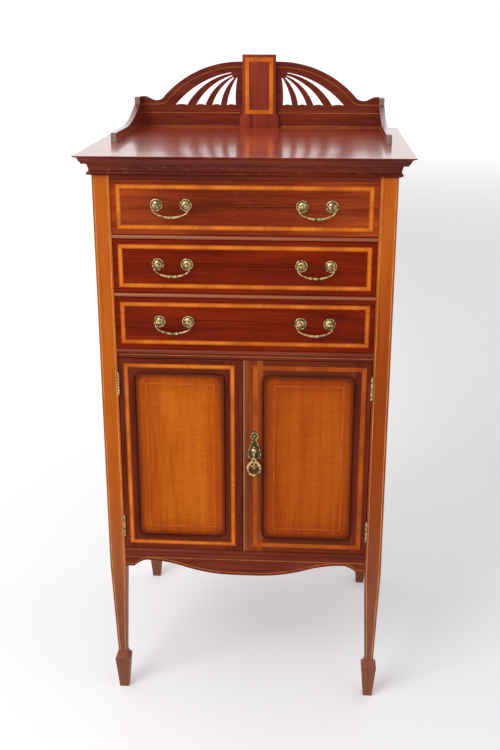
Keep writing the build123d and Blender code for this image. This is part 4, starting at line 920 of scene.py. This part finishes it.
def bent_rod(points, faces, path, depth, radius, half_depth=None):
    """A rod along a path of X and Z places at one depth, closed at both ends.

    It is round, or oval where it has a half depth of its own."""
    half_depth = half_depth or radius
    start = len(points)
    for index, (x, z) in enumerate(path):
        before, after = path[max(index - 1, 0)], path[min(index + 1, len(path) - 1)]
        run_x, run_z = after[0] - before[0], after[1] - before[1]
        run = math.hypot(run_x, run_z)
        for i in range(ROD_SIDES):
            angle = 2 * math.pi * i / ROD_SIDES
            aside = radius * math.cos(angle) / run
            points.append((x - aside * run_z, depth + half_depth * math.sin(angle), z + aside * run_x))
    for ring in range(len(path) - 1):
        for i in range(ROD_SIDES):
            a, b = start + ring * ROD_SIDES + i, start + ring * ROD_SIDES + (i + 1) % ROD_SIDES
            faces.append((a, b, b + ROD_SIDES, a + ROD_SIDES))
    last = start + (len(path) - 1) * ROD_SIDES
    faces.append(tuple(start + i for i in reversed(range(ROD_SIDES))))
    faces.append(tuple(last + i for i in range(ROD_SIDES)))


class CABINET_OT_ring_scrolls(bpy.types.Operator):
    """Adds the cast stem, the two scrolls and the broad rim of the drop ring"""

    bl_idname = "cabinet.ring_scrolls"
    bl_label = "Ring scrolls"

    def execute(self, context):
        low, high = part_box("drop_ring")
        outer = (high.x - low.x) / 2
        middle_x, middle_z = (low.x + high.x) / 2, low.z + outer
        foot = [v.co.y for v in NODES["drop_ring"].data.vertices if v.co.z < low.z + outer / 2]
        depth, wire = (min(foot) + max(foot)) / 2, (max(foot) - min(foot)) / 2
        inner = outer - 2 * wire
        reach = outer - wire
        stem = [(middle_x, middle_z + reach * i / STEM_STEPS) for i in range(-STEM_STEPS, STEM_STEPS + 1)]
        points, faces = [], []
        bent_rod(points, faces, stem, depth, wire * SCROLL_WIRE)
        centre_x, centre_z = (share_of * inner for share_of in SCROLL_CENTRE)
        for side in (-1, 1):
            path = [(0.0, -reach), tuple(share_of * inner for share_of in SCROLL_FOOT)]
            for i in range(SCROLL_STEPS + 1):
                share_done = i / SCROLL_STEPS
                angle = SCROLL_START + SCROLL_TURN * share_done
                radius = inner * (SCROLL_RADIUS - SCROLL_SHRINK * share_done)
                path.append((centre_x + radius * math.cos(angle), centre_z + radius * math.sin(angle)))
            scroll = [(middle_x + side * x, middle_z + z) for x, z in path]
            bent_rod(points, faces, scroll, depth, wire * SCROLL_WIRE)
        scroll_faces = len(faces)
        rim, radius = [], outer - RIM_WIDTH * wire
        for i in range(RIM_STEPS + 1):
            angle = RIM_START + RIM_TURN * i / RIM_STEPS
            rim.append((middle_x + radius * math.cos(angle), middle_z + radius * math.sin(angle)))
        bent_rod(points, faces, rim, depth, RIM_WIDTH * wire, RIM_DEPTH * wire)
        dark = aged_brass("brass_cast_and_tarnished_scrolls", depth)
        bright = aged_brass("brass_cast_and_handled_rim", None)
        scrolls = new_piece("ring_scrolls", points, faces, [dark, bright])
        polygons = scrolls.data.polygons
        polygons.foreach_set("material_index", [int(i >= scroll_faces) for i in range(len(polygons))])
        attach(scrolls, "drop_ring")
        return {"FINISHED"}


def half_head(points, faces, centre, facing, radius, slot, proud, turn, half):
    """One half of a slotted head: a flat-bottomed half disc that is domed a little towards its middle."""
    start = len(points)
    steps = SCREW_SIDES // 2
    first = math.asin(slot / 2 / radius)
    edge = []
    for i in range(steps + 1):
        angle = first + i * (math.pi - 2 * first) / steps
        edge.append((radius * math.cos(angle), radius * math.sin(angle)))
    inner = [(x * SCREW_DOME_WIDTH, max(slot / 2, y * SCREW_DOME_WIDTH)) for x, y in edge]
    rings = ((edge, 0.0), (edge, proud * (1 - SCREW_DOME)), (inner, proud))
    for ring, rise in rings:
        for x, y in ring:
            y = y * half
            u = x * math.cos(turn) - y * math.sin(turn)
            v = x * math.sin(turn) + y * math.cos(turn)
            points.append((centre[0] + facing * rise, centre[1] + u, centre[2] + v))
    count = steps + 1
    for r in range(2):
        for i in range(steps):
            a, b = start + r * count + i, start + r * count + i + 1
            faces.append((a, b, b + count, a + count))
        a, b = start + r * count + steps, start + r * count
        faces.append((a, b, b + count, a + count))
    faces.append(tuple(start + 2 * count + i for i in range(count)))


def screw_heads(name, places, facing, body, material):
    """Slotted screw heads on a hinge leaf, which looks along X."""
    sizes = bpy.context.scene.cabinet_sizes
    points, faces = [], []
    for index, centre in enumerate(places):
        turn = FIRST_SLOT_TURN + NEXT_SLOT_TURN * index
        for half in (-1, 1):
            head = (sizes.screw, sizes.screw_slot, sizes.screw_proud, turn, half)
            half_head(points, faces, centre, facing, *head)
    heads = new_piece(name, points, faces, [material])
    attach(heads, body)


class CABINET_OT_screws(bpy.types.Operator):
    """Adds the slotted brass screws of the hinges, on the fixed and the moving leaves"""

    bl_idname = "cabinet.screws"
    bl_label = "Hinge screws"

    def execute(self, context):
        leaf = context.scene.cabinet_sizes.hinge
        brass = aged_brass("brass_turned_screws", None)
        for side in SIDES:
            low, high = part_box(f"door_{side}_hinge_leaves")
            outward = -1.0 if side == "left" else 1.0
            heights = [
                base + leaf * (2 * i + 1) / (2 * SCREWS_PER_LEAF)
                for base in (low.z, high.z - leaf)
                for i in range(SCREWS_PER_LEAF)
            ]
            y = FRONT_PLANE + SCREW_FROM_FRONT
            on_door = [(outward * DOOR_EDGE, y, z) for z in heights]
            on_post = [(outward * POST_FACE, y, z) for z in heights]
            screw_heads(f"hinge_screws_door_{side}", on_door, outward, f"door_{side}", brass)
            screw_heads(f"hinge_screws_post_{side}", on_post, -outward, "carcass", brass)
        return {"FINISHED"}


class CABINET_OT_stage(bpy.types.Operator):
    """Lays the pale floor, hangs the lamp and places the camera"""

    bl_idname = "cabinet.stage"
    bl_label = "Floor, light and camera"

    def execute(self, context):
        stage = context.scene.cabinet_stage
        corners = [(x * FLOOR_REACH, y * FLOOR_REACH, 0.0) for x, y in ((-1, -1), (1, -1), (1, 1), (-1, 1))]
        new_piece("studio_floor", corners, [(0, 1, 2, 3)], [pale_floor("studio_floor_with_painted_light")])
        hang_lamp("key_lamp", KEY_PLACE, KEY_TARGET, stage.key_watts, stage.key_size)
        light_room(context.scene, stage.ambient)
        data = bpy.data.cameras.new("camera")
        data.lens = stage.lens_mm
        camera = bpy.data.objects.new("camera", data)
        camera.location = stage.place
        camera.rotation_euler = (math.pi / 2 - stage.tilt, 0.0, stage.turn)
        context.scene.collection.objects.link(camera)
        context.scene.camera = camera
        context.scene.view_settings.view_transform = "Standard"
        return {"FINISHED"}


def seen_directly(tree):
    """1 for rays from the camera, from a glossy surface or through glass, and 0 for light on the object."""
    path = add(tree, "ShaderNodeLightPath").outputs
    either = add(tree, MATH, [path["Is Camera Ray"], path["Is Glossy Ray"]], **LARGER)
    return add(tree, MATH, [either, path["Is Transmission Ray"]], **LARGER)


def pale_floor(name):
    """Matt studio floor, lifted towards white by a painted glow: nearly white on its left, pale grey on its
    right.
    """
    stage = bpy.context.scene.cabinet_stage
    material, tree = new_material(name)
    place = add(tree, "ShaderNodeTexCoord").outputs["Object"]
    across = add(tree, AXES, [place])
    right = add(tree, RANGE, [across, *FLOOR_LEFT_TO_RIGHT])
    away = add(tree, VECTORS, [place], operation="LENGTH")
    # Painted light: the floor keeps less of its glow to the right.
    beside = add(tree, RANGE, [right, 0.0, 1.0, stage.lift, stage.lift * RIGHT_BESIDE], **EVEN)
    behind = add(tree, RANGE, [right, 0.0, 1.0, stage.far_lift, stage.far_lift * RIGHT_BEHIND], **EVEN)
    to_behind = add(tree, RANGE, [away, *FLOOR_BESIDE_TO_BEHIND])
    middle = add(tree, MIX, [to_behind, beside, behind], **NUMBERS)
    to_far = add(tree, RANGE, [away, *FLOOR_BEHIND_TO_FAR])
    lifted = add(tree, MIX, [to_far, middle, HORIZON_LIFT], **NUMBERS)
    strength = add(tree, MATH, [lifted, seen_directly(tree)], **TIMES)
    matt = add(tree, "ShaderNodeBsdfDiffuse", {"Color": opaque(stage.floor)})
    glow = add(tree, "ShaderNodeEmission", {"Color": opaque(WHITE), "Strength": strength})
    both = add(tree, "ShaderNodeAddShader", [matt, glow])
    add(tree, "ShaderNodeOutputMaterial", {"Surface": both})
    return material


def hang_lamp(name, place, target, watts, size):
    """A large square soft lamp that looks at a point."""
    data = bpy.data.lights.new(name, "AREA")
    data.energy = watts
    data.size = size
    lamp = bpy.data.objects.new(name, data)
    lamp.location = place
    towards = Vector(target) - Vector(place)
    lamp.rotation_euler = towards.to_track_quat("-Z", "Y").to_euler()
    bpy.context.scene.collection.objects.link(lamp)


def light_room(scene, strength):
    """Even white light from all round, behind which the room itself shows white."""
    world = bpy.data.worlds.new("white_room")
    world.use_nodes = True
    tree = world.node_tree
    tree.nodes.clear()
    even = add(tree, "ShaderNodeBackground", {"Color": opaque(WHITE), "Strength": strength})
    white = add(tree, "ShaderNodeBackground", {"Color": opaque(WHITE), "Strength": 1.0})
    both = add(tree, "ShaderNodeMixShader", [seen_directly(tree), even, white])
    add(tree, "ShaderNodeOutputWorld", {"Surface": both})
    scene.world = world


OPERATORS = (
    CABINET_OT_case, CABINET_OT_top, CABINET_OT_gallery, CABINET_OT_drawers, CABINET_OT_doors,
    CABINET_OT_inlay, CABINET_OT_brass, CABINET_OT_ring_scrolls, CABINET_OT_screws, CABINET_OT_stage,
)


class CABINET_PT_panel(bpy.types.Panel):
    """Lists the steps that finish the music cabinet"""

    bl_idname = "CABINET_PT_panel"
    bl_label = "Music cabinet"
    bl_space_type = "VIEW_3D"
    bl_region_type = "UI"
    bl_category = "Music cabinet"

    def draw(self, context):
        for operator in OPERATORS:
            self.layout.operator(operator.bl_idname)
        scene = context.scene
        for group in (scene.cabinet_colours, scene.cabinet_sizes, scene.cabinet_stage):
            box = self.layout.box()
            for name in group.__annotations__:
                box.prop(group, name)


CLASSES = (CabinetColours, CabinetSizes, CabinetStage, *OPERATORS, CABINET_PT_panel)


def register():
    for item in CLASSES:
        bpy.utils.register_class(item)
    bpy.types.Scene.cabinet_colours = bpy.props.PointerProperty(type=CabinetColours)
    bpy.types.Scene.cabinet_sizes = bpy.props.PointerProperty(type=CabinetSizes)
    bpy.types.Scene.cabinet_stage = bpy.props.PointerProperty(type=CabinetStage)


def unregister():
    del bpy.types.Scene.cabinet_stage
    del bpy.types.Scene.cabinet_sizes
    del bpy.types.Scene.cabinet_colours
    for item in reversed(CLASSES):
        bpy.utils.unregister_class(item)


def main():
    """Registers the add-on, names every node's material slot and runs each step once."""
    register()
    for operator in OPERATORS:
        group, step = operator.bl_idname.split(".")
        getattr(getattr(bpy.ops, group), step)()


if __name__ == "__main__":
    main()
